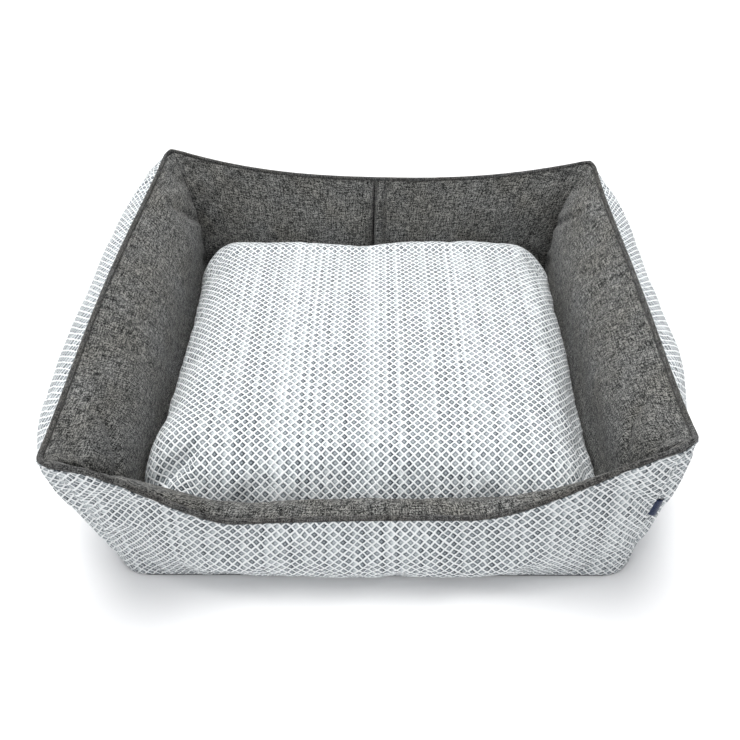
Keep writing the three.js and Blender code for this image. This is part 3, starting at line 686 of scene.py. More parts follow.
def settled(points, slack=0.015, pressure=2.0, most=8.0, stiffness=14.0, bending=0.25):
    columns, rows = points.shape[:2]
    cloth_piece = new_object("settling", points.reshape(-1, 3), grid_faces(columns, rows))
    held = np.zeros((columns, rows), bool)
    held[[0, -1], :] = held[:, [0, -1]] = True
    group = cloth_piece.vertex_groups.new(name="seams")
    group.add(np.flatnonzero(held.ravel()).tolist(), 1.0, "REPLACE")
    cloth = cloth_piece.modifiers.new("cloth", "CLOTH")
    settings = cloth.settings
    settings.quality, settings.mass = 5, 0.3
    settings.tension_stiffness = settings.compression_stiffness = stiffness
    settings.shear_stiffness, settings.bending_stiffness = 4.0, bending
    settings.use_pressure, settings.uniform_pressure_force = True, pressure
    settings.shrink_min = -slack
    settings.vertex_group_mass = "seams"
    settings.effector_weights.gravity = 0.0
    cloth.collision_settings.use_collision = False
    scene = bpy.context.scene
    cloth.point_cache.frame_start, cloth.point_cache.frame_end = 1, SETTLE_FRAMES
    for frame_number in range(1, SETTLE_FRAMES + 1):
        scene.frame_set(frame_number)
    solved = cloth_piece.evaluated_get(bpy.context.evaluated_depsgraph_get()).to_mesh()
    moved = np.empty(len(solved.vertices) * 3)
    solved.vertices.foreach_get("co", moved)
    moved = moved.reshape(points.shape) / MM - points
    mesh = cloth_piece.data
    bpy.data.objects.remove(cloth_piece)
    bpy.data.meshes.remove(mesh)
    scene.frame_set(1)
    distance = np.linalg.norm(moved, axis=2, keepdims=True)
    print(f"  settled {columns} x {rows}: most moved {distance.max():.1f} mm")
    return points + moved * (most * np.tanh(distance / most) / np.maximum(distance, 1e-6))


def sewn_piece(name, points, uvs, thickness, material, body, node, wrap=False):
    """Makes a sheet of cloth of a grid, with its flat lengths as its UV map, gives it its finish, hides its node in
    the frame and hangs it on its body.
    """
    piece = shell(name, points, uvs, thickness, wrap)
    finish(piece, material, body, node)
    return piece


def finish(piece, material, body, *nodes, slot=None):
    piece.data.materials.append(materials[material])
    if nodes:
        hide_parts(*nodes)
    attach(piece, body)


# %% [markdown]
# ## Outer panels
#
# The outside of each wall is one panel of lattice jacquard, from the base seam to the piping. Beside
# each seam the cloth is gathered a little, so it stands in short, shallow tucks across the seam, and at
# the tall corners it is dragged in long folds towards the point. Between them it is smooth and full.
# The tucks are drawn in the grid before it is settled, because a stitch is what makes them.

# %% Outer panels
WALL_HEIGHT = 260.0   # about how much cloth lies between the two seams


def outer_tucks(side, u, t):
    """How far the cloth stands out, in millimetres. Nothing at the two seams."""
    x, up = u * WALLS[side]["half"], t * WALL_HEIGHT
    held = np.sin(math.pi * t) ** 0.5
    soft = 2.0 * noise(x, up, 95.0, 11) + 1.0 * noise(x, up, 42.0, 12)
    under_piping = 1.8 * np.exp(-((1 - t) * WALL_HEIGHT / 24) ** 2) * noise(x, up * 0.25, 15.0, 13)
    over_base = 1.6 * np.exp(-(t * WALL_HEIGHT / 30) ** 2) * noise(x, up * 0.3, 26.0, 14)
    drags = 2.6 * np.abs(u) ** 6 * noise(x + up * np.sign(u) * 0.9, up * 0.1, 22.0, 15)
    beside_seam = smooth((1 - np.abs(u)) * WALLS[side]["half"] / 15)
    puff = 1.6 * np.exp(-(((1 - np.abs(u)) * WALLS[side]["half"] - 10) / 7) ** 2)
    return held * beside_seam * (soft + under_piping + over_base + drags + puff)


def outer_panel(side):
    u, t, points = wall_grid(side, outer_face, 170, 56)
    points = points + grid_normals(points) * outer_tucks(side, u, t)[..., None]
    points = settled(leaned(points), slack=0.012, pressure=1.2, most=6.0)
    uvs = cloth_lengths(points)
    return points, sewn_piece(f"{side}_outer_cloth", points, uvs, CLOTH, "lattice_jacquard", "root",
                              f"outer_{side}_panel")


outer_points = {side: outer_panel(side)[0] for side in WALLS}

# %% [markdown]
# ## Inner panels
#
# The inside is charcoal cloth. The side walls lean over the cushion, plumper than the back wall, so at
# the two back corners they fold in front of it and leave a deep crease. The back wall is sewn through at
# its middle: a narrow channel with a crease at each side, which stops the filling from sliding.
# Just under the piping at the back corners the cloth is pinched, and the side walls show soft folds that
# run down from the rim.

# %% Inner panels
CHANNEL_CREASES = (-5.0, 14.0)   # along X


def inner_tucks(side, u, t):
    x, down = u * WALLS[side]["half"], t * WALL_HEIGHT
    held = np.sin(math.pi * t) ** 0.5
    soft = 1.6 * noise(x, down, 80.0, 21) + 0.8 * noise(x, down, 36.0, 22)
    under_piping = 1.5 * np.exp(-(down / 30) ** 2) * noise(x, down * 0.2, 14.0, 23)
    at_floor = 1.2 * np.exp(-((WALL_HEIGHT - down) / 30) ** 2) * noise(x, down * 0.2, 22.0, 24)
    stand = soft + under_piping + at_floor
    if side in ("left", "right"):
        folds = noise(x, down * 0.08, 34.0, 25)
        stand = stand + 4.6 * np.maximum(folds, 0) ** 1.5 * np.exp(-(down / 105) ** 2)
    if side in ("left", "right", "back"):
        short = (1 - np.abs(u)) * WALLS[side]["half"]
        stand = stand + 4.6 * np.exp(-(short / 62) ** 2) * noise(short * 0.5, down * 0.9 + short * 0.4, 16.0, 26)
    return held * stand * smooth((1 - np.abs(u)) * WALLS[side]["half"] / 12)


def inner_panel(side, name, node, u_range=(-1.0, 1.0), columns=170):
    u, t, points = wall_grid(side, inner_face, columns, 56, u_range)
    stand = inner_tucks(side, u, t)
    if side == "back":
        x = -u * HALF_WIDTH
        held = np.sin(math.pi * np.clip(t / 0.93, 0, 1)) ** 0.35
        for crease in CHANNEL_CREASES:
            stand = stand - 13.0 * held * np.exp(-(np.abs(x - crease) / 4.6) ** 1.4)
        stand = stand + 3.0 * held * np.exp(-((x - sum(CHANNEL_CREASES) / 2) / 5.5) ** 2)
    points = points + grid_normals(points) * stand[..., None]
    points = settled(leaned(points), slack=0.018, pressure=1.2, most=7.0)
    uvs = cloth_lengths(points)
    return points, sewn_piece(name, points, uvs, CLOTH, "charcoal_linen", "root", node)


CHANNEL_MIDDLE = -CHANNEL_CREASES[0] / HALF_WIDTH
SEAM_SHARE = 0.05 / HALF_WIDTH
inner_points = {
    side: [inner_panel(side, f"{side}_inner_cloth", f"inner_{side}_panel")[0]]
    for side in ("front", "left", "right")
}
inner_points["back"] = [
    inner_panel("back", "back_right_inner_cloth", "inner_back_right_panel",
                (-1.0, CHANNEL_MIDDLE - SEAM_SHARE), 110)[0],
    inner_panel("back", "back_left_inner_cloth", "inner_back_left_panel",
                (CHANNEL_MIDDLE + SEAM_SHARE, 1.0), 110)[0],
]

# %% [markdown]
# ## Piping
#
# The piping is a bias strip of charcoal cloth folded round a cotton cord and caught in the top seam, all
# round. Its cover is open underneath, where its two edges run down into the seam. It is swept along the
# rim, because a bias strip ripples slightly and a plain bevelled curve would not. Where the wall turns
# at an ear the real strip is gathered; here the strip swells and thins a little all along the rim, in
# small ridges across it.


# %% Piping cover and cord
def rim_path():
    """The rim's line right round, corner to corner."""
    line = []
    for side in ("front", "right", "back", "left"):
        u, _, _ = wall_grid(side, outer_face, 260, 2)
        u = u[:-1, 0]
        outward, height = rim_line(side, u)
        line.append(leaned(placed(side, u, outward, height)))
    return np.concatenate(line)


def around(line, profile, ripple=0.0):
    """Sweeps a section along a closed line. The profile is (radius, angle) pairs, angle 0 up."""
    ahead = np.roll(line, -1, axis=0) - np.roll(line, 1, axis=0)
    ahead /= np.linalg.norm(ahead, axis=1, keepdims=True)
    side = np.cross(ahead, [0, 0, 1.0])
    side /= np.linalg.norm(side, axis=1, keepdims=True)
    top = np.cross(side, ahead)
    run = np.concatenate([[0], np.cumsum(np.linalg.norm(np.diff(line, axis=0), axis=1))])
    radius, angle = np.array(profile).T
    swell = 1 + ripple * (noise(run, run * 0, 9.0, 31) + 0.6 * noise(run, run * 0, 4.0, 32))
    reach = radius[None, :] * swell[:, None]
    points = (line[:, None, :] + side[:, None, :] * (reach * np.sin(angle))[..., None]
              + top[:, None, :] * (reach * np.cos(angle))[..., None])
    arc = np.cumsum(np.abs(np.gradient(angle))) * radius.mean()
    uvs = np.stack([np.repeat(run[:, None], len(radius), axis=1), np.repeat(arc[None], len(run), axis=0)], axis=2)
    return points, uvs


rim = rim_path()
COVER_ANGLES = np.linspace(math.pi - 0.25, -math.pi + 0.25, 15)
cover_points, cover_uvs = around(rim, [(PIPING_RADIUS + 0.3, a) for a in COVER_ANGLES], ripple=0.035)
sewn_piece("piping_bias_strip", cover_points, cover_uvs, 1.0, "piping_cloth", "root", "piping_cover",
           wrap=True)
cord_points, _ = around(rim, [(PIPING_RADIUS - 1.1, a) for a in np.linspace(0, -2 * math.pi, 9)[:-1]])
print("rim length", round(float(cover_uvs[-1, 0, 0])), "mm")


def closed_tube(name, points):
    """A grid that is closed both ways, such as a cord's surface."""
    rows, columns = points.shape[:2]
    faces = [(i * columns + j, (i + 1) % rows * columns + j, (i + 1) % rows * columns + (j + 1) % columns,
              i * columns + (j + 1) % columns) for i in range(rows) for j in range(columns)]
    return new_object(name, points.reshape(-1, 3), faces)


piping_cord = closed_tube("piping_cotton_cord", cord_points)
finish(piping_cord, "piping_cord", "root", "piping_cord")

# %% [markdown]
# ## Wall filling
#
# Inside each wall lies a long bolster of loose fibre. It is hidden, but it is a piece of the real bed, so
# it is made as one: a closed form that follows the two cloths a millimetre behind them, with the shallow
# lumps that fibre has when a cover is pulled off it.


# %% Wall fillings
def closed_form(name, front_points, back_points):
    """Closes two grids with the same edges into one solid: the first grid faces out of it."""
    rows, columns = front_points.shape[:2]
    count = rows * columns
    faces = grid_faces(rows, columns) + grid_faces(rows, columns, count, flip=True)
    for i in range(rows - 1):
        a, b = i * columns, (i + 1) * columns
        faces.append((a, a + count, b + count, b))
        faces.append((b + columns - 1, b + columns - 1 + count, a + columns - 1 + count, a + columns - 1))
    for j in range(columns - 1):
        end = (rows - 1) * columns
        faces.append((j + 1, j + 1 + count, j + count, j))
        faces.append((end + j, end + j + count, end + j + 1 + count, end + j + 1))
    return new_object(name, np.concatenate([front_points.reshape(-1, 3), back_points.reshape(-1, 3)]), faces)


def wall_stations(columns, u_range=(-1.0, 1.0)):
    even = np.linspace(*u_range, columns)
    return mix(even, np.sin(even * math.pi / 2), 0.5)


def resampled(points, stations, wanted, rows):
    """The same surface with other stations along it and fewer rows across it."""
    across = points[:, np.linspace(0, points.shape[1] - 1, rows).round().astype(int)]
    place = np.interp(wanted, stations, np.arange(len(stations)))
    low = np.clip(np.floor(place).astype(int), 0, len(stations) - 2)
    return mix(across[low], across[low + 1], (place - low)[:, None, None])


def wall_filling(side, name, node, inside, inside_range=(-1.0, 1.0), reach=(-0.992, 0.992)):
    """The filling lies a little behind the two settled cloths, and its edges are rounded off."""
    outer_stations, inner_stations = wall_stations(170), wall_stations(len(inside), inside_range)
    wanted = np.linspace(*reach, 90)
    front = resampled(outer_points[side], outer_stations, wanted, 28)
    back = resampled(inside, inner_stations, wanted, 28)
    t = np.linspace(0, 1, 28)[None, :] * np.ones((90, 1))
    lumps = 0.8 * noise(wanted[:, None] * HALF_WIDTH, t * WALL_HEIGHT, 24.0, 41)
    inset = (CLOTH + 2.0 + lumps)[..., None]
    front, back = front - grid_normals(front) * inset, (back - grid_normals(back) * inset)[:, ::-1]
    edge = np.clip(np.minimum(t, 1 - t) / 0.05, 0, 1)[..., None]
    middle = (front + back) / 2
    lift = np.array([0, 0, 1.0]) * np.where(t < 0.5, 2.0, -4.0)[..., None] * (1 - edge)
    piece = closed_form(name, mix(middle, front, np.sqrt(edge)) + lift, mix(middle, back, np.sqrt(edge)) + lift)
    finish(piece, "fibre_filling", "root", node)


for side in ("front", "left", "right"):
    wall_filling(side, f"{side}_wall_fibre", f"{side}_wall_filling", inner_points[side][0])
channel_left, channel_right = (-(crease + side) / HALF_WIDTH for crease, side in zip(CHANNEL_CREASES, (-10, 10)))
wall_filling("back", "back_right_wall_fibre", "back_right_wall_filling", inner_points["back"][0],
             (-1.0, CHANNEL_MIDDLE - SEAM_SHARE), (-0.992, channel_right))
wall_filling("back", "back_left_wall_fibre", "back_left_wall_filling", inner_points["back"][1],
             (CHANNEL_MIDDLE + SEAM_SHARE, 1.0), (channel_left, 0.992))
print("wall fillings: 5")

# %% [markdown]
# ## Floor: base cloth, wadding and lining
#
# The floor is a sandwich: a woven base cloth with rubber dots on its underside, a sheet of
# wadding, and the charcoal lining that the cushion lies on. Each is a rounded rectangle. A grid whose rows
# shorten towards the rounded ends fills that outline without a pole in the middle.

# %% Rounded rectangles
def plate_grid(half_x, half_y, rounding, columns, rows, y_range=None):
    """X and Y of a grid that fills a rounded rectangle round the bed's middle."""
    even = np.linspace(-1, 1, rows)
    share = mix(even, np.sin(even * math.pi / 2), 0.6)
    low, high = y_range or (-half_y, half_y)
    y = mix(low, high, (share + 1) / 2)
    past = np.clip(np.abs(y) - (half_y - rounding), 0, rounding)
    reach = half_x - rounding + np.sqrt(rounding**2 - past**2)
    even = np.linspace(-1, 1, columns)
    across = mix(even, np.sin(even * math.pi / 2), 0.6)
    return across[:, None] * reach[None, :], y[None, :] * np.ones((columns, 1))


def edge_distance(x, y, half_x, half_y, rounding):
    """How far a point lies inside a rounded rectangle's edge."""
    qx, qy = np.abs(x) - (half_x - rounding), np.abs(y) - (half_y - rounding)
    beyond = np.hypot(np.maximum(qx, 0), np.maximum(qy, 0)) + np.minimum(np.maximum(qx, qy), 0)
    return rounding - beyond


def on_plan(x, y, z):
    return np.stack([x, y + MIDDLE_Y, z + 0 * x], axis=2)


# %% Base cloth, wadding and lining
DOT_HEIGHT = 0.6
base_half = ((base_high - base_low) / 2)[:2]
lining_half = ((lining_high - lining_low) / 2)[:2]
x, y = plate_grid(*base_half, FOOT_ROUNDING, 90, 84)
base_points = on_plan(x, y, DOT_HEIGHT)[::-1]
sewn_piece("base_cloth_sheet", base_points, np.stack([x, y], axis=2)[::-1],
           base_high[2] - DOT_HEIGHT, "base_cloth", "root", "base_panel")
x, y = plate_grid(*lining_half, 4.0, 80, 74)
quilt = 0.5 * noise(x, y, 60.0, 51)
lining_points = on_plan(x, y, lining_high[2] - 0.5 + quilt * 0.9)
sewn_piece("floor_lining_sheet", lining_points, np.stack([x, y], axis=2), CLOTH, "charcoal_linen", "root",
           "floor_lining")
wadding_high = box_mm("floor_wadding")[1]
wadding_points = on_plan(x, y, wadding_high[2] - 0.6 + quilt * 0.9)
wadding = shell("floor_wadding_sheet", wadding_points, np.stack([x, y], axis=2), 7.6)
finish(wadding, "fibre_filling", "root", "floor_wadding")

# %% [markdown]
# ## The cushion
#
# The cushion is loose: it lifts out. Its top is one panel of the lattice cloth, sewn to the underside
# along an edge seam that stands a few centimetres over the floor. Packed with fibre it is highest in the
# middle and falls steeply to the seam, and it takes the shape of the space between the walls. The near
# left corner stands up like an ear, with a curved crease in front of it, and the far right corner is rounder
# and lower than the others.
#
# The pattern below gives the top its crown, and the simulation then gives the cloth its fullness.

# %% Cushion top
CUSHION_CORNER = 60.0
cushion_half = ((cushion_high - cushion_low) / 2)[:2]
CUSHION_SEAM_HEIGHT = cushion_low[2]
CROWN = cushion_high[2] - cushion_low[2]


SIDE_DEPTH = 55.0     # how far in from the seam the side turns into the top
CREST = CROWN + 3.0
RIGHT_PUSH = 24.0     # the plump right wall pushes the cushion's near half in
SIDE_HANDLES = {      # the side's curve in section: (outward, up) of its two handles and its end
    "side": ((14.0, 17.0), (8.0, 63.0), 77.0),
    "back": ((24.0, 25.0), (26.0, 79.0), 83.0),
    "front": ((10.0, 17.0), (6.0, 60.0), 73.0),
}
ROOM = {              # how far the cloth may stand out over the seam line, at heights over the seam
    "side": ((0, 15, 35, 55, 75, 95), (1, 9, 7, 1, -7, -16)),
    "back": ((0, 25, 55, 75, 95), (1, 13, 16, 15, 10)),
    "front": ((0, 25, 55, 95), (1, 7, 6, 0)),
}


def towards_edge(x, y):
    """The direction to the nearest place on the seam."""
    qx = np.maximum(np.abs(x) - (cushion_half[0] - CUSHION_CORNER), 0)
    qy = np.maximum(np.abs(y) - (cushion_half[1] - CUSHION_CORNER), 0)
    long = np.maximum(np.hypot(qx, qy), 1e-6)
    return np.sign(x) * qx / long, np.sign(y) * qy / long


def cushion_top():
    x, y = plate_grid(*cushion_half, CUSHION_CORNER, 140, 130)
    inset = np.clip(edge_distance(x, y, *cushion_half, CUSHION_CORNER), 0, None)
    nx, ny = towards_edge(x, y)
    shares = {"side": nx**2, "back": np.where(ny > 0, ny**2, 0), "front": np.where(ny < 0, ny**2, 0)}
    turn = np.clip(inset / SIDE_DEPTH, 0, 1)
    total = np.maximum(sum(shares.values()), 1e-6)
    out, up, end = 0.0, 0.0, 0.0
    for key, share in shares.items():
        (out_1, up_1), (out_2, up_2), top = SIDE_HANDLES[key]
        out = out + share / total * bezier(0.0, out_1, out_2, -SIDE_DEPTH, turn)
        up = up + share / total * bezier(0.0, up_1, up_2, top, turn)
        end = end + share / total * top
    dome = 1 - (1 - np.clip((inset - SIDE_DEPTH) / (cushion_half[1] - SIDE_DEPTH), 0, 1)) ** 2
    end = np.where(inset > SIDE_DEPTH, 77.0 + 0 * end, end)
    up = np.where(inset > SIDE_DEPTH, 77.0 + (CREST - 77.0) * dome, up)
    shift = np.where(inset < SIDE_DEPTH, out + inset, 0.0)
    x, y = x + nx * shift, y + ny * shift
    left, front = x + cushion_half[0], y + cushion_half[1]
    stand = 2.5 * noise(x, y, 120.0, 62)
    tucks = 2.4 * np.sin(math.pi * np.clip(inset / 40, 0, 1)) * noise((x + y) * 0.8, (x - y) * 0.8, 19.0, 61)
    ear = 15 * np.exp(-(np.hypot(left - 26, front - 84) / 44) ** 2)
    round_ear = np.arctan2(front - 92, left - 12)
    crease = 16 * np.exp(-((np.hypot(left - 12, front - 92) - 64) / 9.0) ** 2) * bump(round_ear, -1.05, 0.95)
    low_corner = 10 * np.exp(-(np.hypot(x - cushion_half[0], y - cushion_half[1]) / 95) ** 2)
    up = up + (stand + tucks + ear - crease - low_corner) * smooth(inset / 30)
    return on_plan(x, y, CUSHION_SEAM_HEIGHT + np.maximum(up, 0))


def within_walls(points):
    """Keeps the settled cloth clear of the walls round it, and under its crest."""
    over_seam = points[..., 2] - CUSHION_SEAM_HEIGHT
    over_seam = over_seam * min(1.0, (CREST + 2) / float(over_seam.max()))
    most = {key: np.interp(over_seam, *ROOM[key]) for key in ROOM}
    x = np.clip(points[..., 0], -cushion_half[0] - most["side"], cushion_half[0] + most["side"])
    y = np.clip(points[..., 1] - MIDDLE_Y, -cushion_half[1] - most["front"], cushion_half[1] + most["back"])
    near_right = smooth((60 - y) / 290) * smooth(x / 250) * smooth(over_seam / 38)
    return on_plan(x - RIGHT_PUSH * near_right, y, CUSHION_SEAM_HEIGHT + over_seam)


top_points = within_walls(settled(cushion_top(), slack=0.02, pressure=4.0, most=12.0, stiffness=12.0, bending=0.3))
top_uvs = lengths_from_middle(top_points)
sewn_piece(
    "cushion_top_cloth", top_points, top_uvs, CLOTH, "lattice_jacquard", "cushion", "cushion_top_panel")
print(f"cushion top reaches {top_points[..., 2].max():.0f} mm")

# %% [markdown]
# ### Cushion underside and zip opening
#
# The underside rises from its flat middle to the edge seam. On its rear slope lies a long zip, so that
# the cover comes off for washing. The cloth is in two parts: the bottom panel, and the strip behind the
# zip. Between them both stand back from the coils, and past the zip's ends they meet in a seam.

# %% Cushion underside
UNDERSIDE_INSET = (0.0, 8.0, 36.0, 55.0)
UNDERSIDE_SHARE = (1.0, 0.84, 0.1, 0.0)
CUSHION_BOTTOM = box_mm("cushion_bottom_panel")[0][2]
SLOT_HALF = 12.95
ZIP_REACH = 223.0
SEAM_RISE = CUSHION_SEAM_HEIGHT - 0.3 - CUSHION_BOTTOM
ZIP_MIDDLE = cushion_half[1] - (UNDERSIDE_INSET[1] + UNDERSIDE_INSET[2]) / 2
slope = math.atan2((UNDERSIDE_SHARE[1] - UNDERSIDE_SHARE[2]) * SEAM_RISE,
                   UNDERSIDE_INSET[2] - UNDERSIDE_INSET[1])


def underside_height(x, y):
    inset = np.clip(edge_distance(x, y, *cushion_half, CUSHION_CORNER), 0, None)
    share = np.mean([np.interp(inset + k, UNDERSIDE_INSET, UNDERSIDE_SHARE)
                     for k in (-3, -1.5, 0, 1.5, 3)], axis=0)
    share = np.where(inset < 4, np.interp(inset, UNDERSIDE_INSET, UNDERSIDE_SHARE), share)
    return CUSHION_BOTTOM + SEAM_RISE * share


def slot_edge(x):
    return mix(0.5, SLOT_HALF, smooth((ZIP_REACH + 12 - np.abs(x)) / 12)) * math.cos(slope)


def underside_part(name, node, front, columns, rows):
    even = np.linspace(-1, 1, columns)
    across = mix(even, np.sin(even * math.pi / 2), 0.6)[:, None] * np.ones((1, rows))
    share = np.linspace(0, 1, rows)[None, :]
    edge = slot_edge(across * (cushion_half[0] - 12))
    low, high = (-cushion_half[1], ZIP_MIDDLE - edge) if front else (ZIP_MIDDLE + edge, cushion_half[1])
    y = mix(low, high, share)
    past = np.clip(np.abs(y) - (cushion_half[1] - CUSHION_CORNER), 0, CUSHION_CORNER)
    x = across * (cushion_half[0] - CUSHION_CORNER + np.sqrt(CUSHION_CORNER**2 - past**2))
    z = underside_height(x, y)
    if front:
        from_edge = edge_distance(x, y, *cushion_half, CUSHION_CORNER)
        z = z + 0.8 * smooth(from_edge / 80 - 1) * (noise(x, y, 70.0, 71) + 1)
    points = on_plan(x, y, z)[::-1]
    uvs = cloth_lengths(points)
    sewn_piece(name, points, uvs, CLOTH, "lattice_jacquard", "cushion", node)


underside_part("cushion_bottom_cloth", "cushion_bottom_panel", True, 110, 96)
underside_part("cushion_rear_strip_cloth", "cushion_rear_strip", False, 110, 12)


# %% Cushion filling
def cushion_filling():
    inner_half, inner_corner = cushion_half - 6, CUSHION_CORNER - 6
    x, y = (part[::2, ::2] for part in plate_grid(*inner_half, inner_corner, 140, 130))
    lumps = noise(x, y, 30.0, 72)
    over_zip = 7.0 * smooth(1.6 - np.abs(y - ZIP_MIDDLE) / 22) * smooth((ZIP_REACH + 30 - np.abs(x)) / 20)
    lower = underside_height(x, y) + CLOTH + 1.2 + over_zip + 0.4 * (lumps + 1)
    under_top = (top_points - grid_normals(top_points) * (CLOTH + 5.0))[::2, ::2]
    under_top[..., 2] -= 0.9 * (lumps + 1)
    at_seam = on_plan(x, y, lower + 0.6)
    upper = mix(at_seam, under_top, smooth(edge_distance(x, y, *inner_half, inner_corner) / 12)[..., None])
    upper[..., 2] = np.maximum(upper[..., 2], lower + 0.6)
    piece = closed_form("cushion_fibre", upper, on_plan(x, y, lower))
    finish(piece, "fibre_filling", "cushion", "cushion_filling")


cushion_filling()

# %% [markdown]
# ## Things that repeat: stitches, zip coils and rubber dots
#
# Hundreds of equal small shapes are what Geometry Nodes are for. Each tree below is built here, with its
# sizes as named inputs, and ends by making the instances real and giving them a material. The modifier
# is then turned into a plain mesh, so that nothing live is left on the piece. Every shape has only a few
# dozen faces, because a thread is a fraction of a millimetre thick.


# %% Geometry Nodes helpers
def geometry_tree(name, sizes, material):
    """A tree with a geometry input, named number inputs, and an output behind Realize and Set Material."""
    tree = bpy.data.node_groups.new(name, "GeometryNodeTree")
    tree.interface.new_socket("Geometry", in_out="INPUT", socket_type="NodeSocketGeometry")
    for label in sizes:
        tree.interface.new_socket(label, in_out="INPUT", socket_type="NodeSocketFloat")
    tree.interface.new_socket("Geometry", in_out="OUTPUT", socket_type="NodeSocketGeometry")
    start = add_node(tree, "NodeGroupInput")

    def end(instances):
        real = add_node(tree, "GeometryNodeRealizeInstances", {0: instances})
        smooth_shade = add_node(tree, "GeometryNodeSetShadeSmooth", {0: real.outputs[0]})
        finished = add_node(tree, "GeometryNodeSetMaterial", {"Geometry": smooth_shade.outputs[0],
                                                              "Material": materials[material]})
        add_node(tree, "NodeGroupOutput", {0: finished.outputs[0]})

    return tree, start.outputs, end


def made_by_nodes(name, tree, sizes, vertices_mm=((0, 0, 0),), edges=()):
    """Runs a tree on a small mesh of points or lines, and keeps the result as a plain mesh."""
    mesh = bpy.data.meshes.new(name + "_line")
    mesh.from_pydata((np.asarray(vertices_mm, float) * MM).tolist(), list(edges), [])
    carrier = bpy.data.objects.new(name + "_line", mesh)
    bpy.context.scene.collection.objects.link(carrier)
    modifier = carrier.modifiers.new("nodes", "NODES")
    modifier.node_group = tree
    for item in tree.interface.items_tree:
        if item.in_out == "INPUT" and item.name in sizes:
            modifier[item.identifier] = float(sizes[item.name])
    evaluated = carrier.evaluated_get(bpy.context.evaluated_depsgraph_get())
    result = bpy.data.meshes.new_from_object(evaluated)
    result.name = name
    bpy.data.objects.remove(carrier)
    piece = bpy.data.objects.new(name, result)
    bpy.context.scene.collection.objects.link(piece)
    print(f"{name}: {len(result.polygons)} faces")
    return piece


def stitch_tree(material):
    tree, sizes, end = geometry_tree("stitches_in_" + material, ("Pitch", "Length", "Radius"), material)
    line = add_node(tree, "GeometryNodeMeshToCurve", {0: sizes["Geometry"]})
    spaced = add_node(tree, "GeometryNodeResampleCurve", {"Curve": line.outputs[0], "Length": sizes["Pitch"]},
                      mode="LENGTH")
    thread = add_node(tree, "GeometryNodeMeshUVSphere", {"Segments": 6, "Rings": 5, "Radius": 1.0})
    shape = add_node(tree, "ShaderNodeCombineXYZ", {0: sizes["Radius"], 1: sizes["Radius"],
                                                    2: maths(tree, "MULTIPLY", sizes["Length"], 0.5)})
    tangent = add_node(tree, "GeometryNodeInputTangent")
    turned = add_node(tree, "FunctionNodeAlignEulerToVector", {"Vector": tangent.outputs[0]}, axis="Z")
    placed_threads = add_node(tree, "GeometryNodeInstanceOnPoints", {
        "Points": spaced.outputs[0], "Instance": thread.outputs[0], "Rotation": turned.outputs[0],
        "Scale": shape.outputs[0]})
    end(placed_threads.outputs[0])
    return tree


def coil_tree():
    tree, sizes, end = geometry_tree("zip_coil_loops", ("Length", "Pitch", "Loop radius", "Wire radius"),
                                     "zip_nylon")
    count = maths(tree, "DIVIDE", sizes["Length"], sizes["Pitch"])
    step = add_node(tree, "ShaderNodeCombineXYZ", {0: sizes["Pitch"]})
    first = add_node(tree, "ShaderNodeCombineXYZ", {0: maths(tree, "MULTIPLY", sizes["Length"], -0.5)})
    row = add_node(tree, "GeometryNodeMeshLine", {"Count": count, "Start Location": first.outputs[0],
                                                  "Offset": step.outputs[0]})
    loop = add_node(tree, "GeometryNodeCurvePrimitiveCircle", {"Resolution": 10, "Radius": sizes["Loop radius"]})
    wire = add_node(tree, "GeometryNodeCurvePrimitiveCircle", {"Resolution": 5, "Radius": sizes["Wire radius"]})
    tube = add_node(tree, "GeometryNodeCurveToMesh", {"Curve": loop.outputs[0], "Profile Curve": wire.outputs[0]})
    loops = add_node(tree, "GeometryNodeInstanceOnPoints", {
        "Points": row.outputs[0], "Instance": tube.outputs[0], "Rotation": (0.0, math.radians(90 - 18), 0.0)})
    end(loops.outputs[0])
    return tree


def dot_tree():
    tree, sizes, end = geometry_tree("rubber_dots_in_rows", ("Width", "Depth", "Pitch", "Radius", "Height"),
                                     "rubber_dots")
    count_x = maths(tree, "DIVIDE", sizes["Width"], sizes["Pitch"])
    count_y = maths(tree, "DIVIDE", sizes["Depth"], sizes["Pitch"])
    field = add_node(tree, "GeometryNodeMeshGrid", {"Size X": sizes["Width"], "Size Y": sizes["Depth"],
                                                    "Vertices X": count_x, "Vertices Y": count_y})
    dot = add_node(tree, "GeometryNodeMeshUVSphere", {"Segments": 10, "Rings": 5, "Radius": 1.0})
    shape = add_node(tree, "ShaderNodeCombineXYZ", {0: sizes["Radius"], 1: sizes["Radius"], 2: sizes["Height"]})
    dots = add_node(tree, "GeometryNodeInstanceOnPoints", {
        "Points": field.outputs[0], "Instance": dot.outputs[0], "Scale": shape.outputs[0]})
    end(dots.outputs[0])
    return tree


def moved_mesh(piece, place):
    """Applies a place, in metres, to the mesh itself, so that the object stays at the origin."""
    piece.data.transform(place)
    piece.data.update()
    return piece


def finish_made(piece, body, slot, *nodes):
    if nodes:
        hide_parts(*nodes)
    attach(piece, body)


white_stitches, charcoal_stitches = stitch_tree("white_thread"), stitch_tree("charcoal_thread")

# %% [markdown]
# ## Underside: rubber dots and hem
#
# Soft rubber is printed on the base cloth in rows, as flattened drops that keep the bed from sliding.
# A line of charcoal stitches holds the base cloth's hem a few millimetres inside its edge.

# %% Rubber dots under the base
DOT_MARGIN = 30.0
dots = made_by_nodes("base_rubber_dots", dot_tree(), {
    "Width": 2 * (base_half[0] - DOT_MARGIN) * MM, "Depth": 2 * (base_half[1] - DOT_MARGIN) * MM,
    "Pitch": 14 * MM, "Radius": 2.3 * MM, "Height": DOT_HEIGHT * MM})
moved_mesh(dots, Matrix.Translation((0, MIDDLE_Y * MM, DOT_HEIGHT * MM)))
finish_made(dots, "root", "base_cloth")

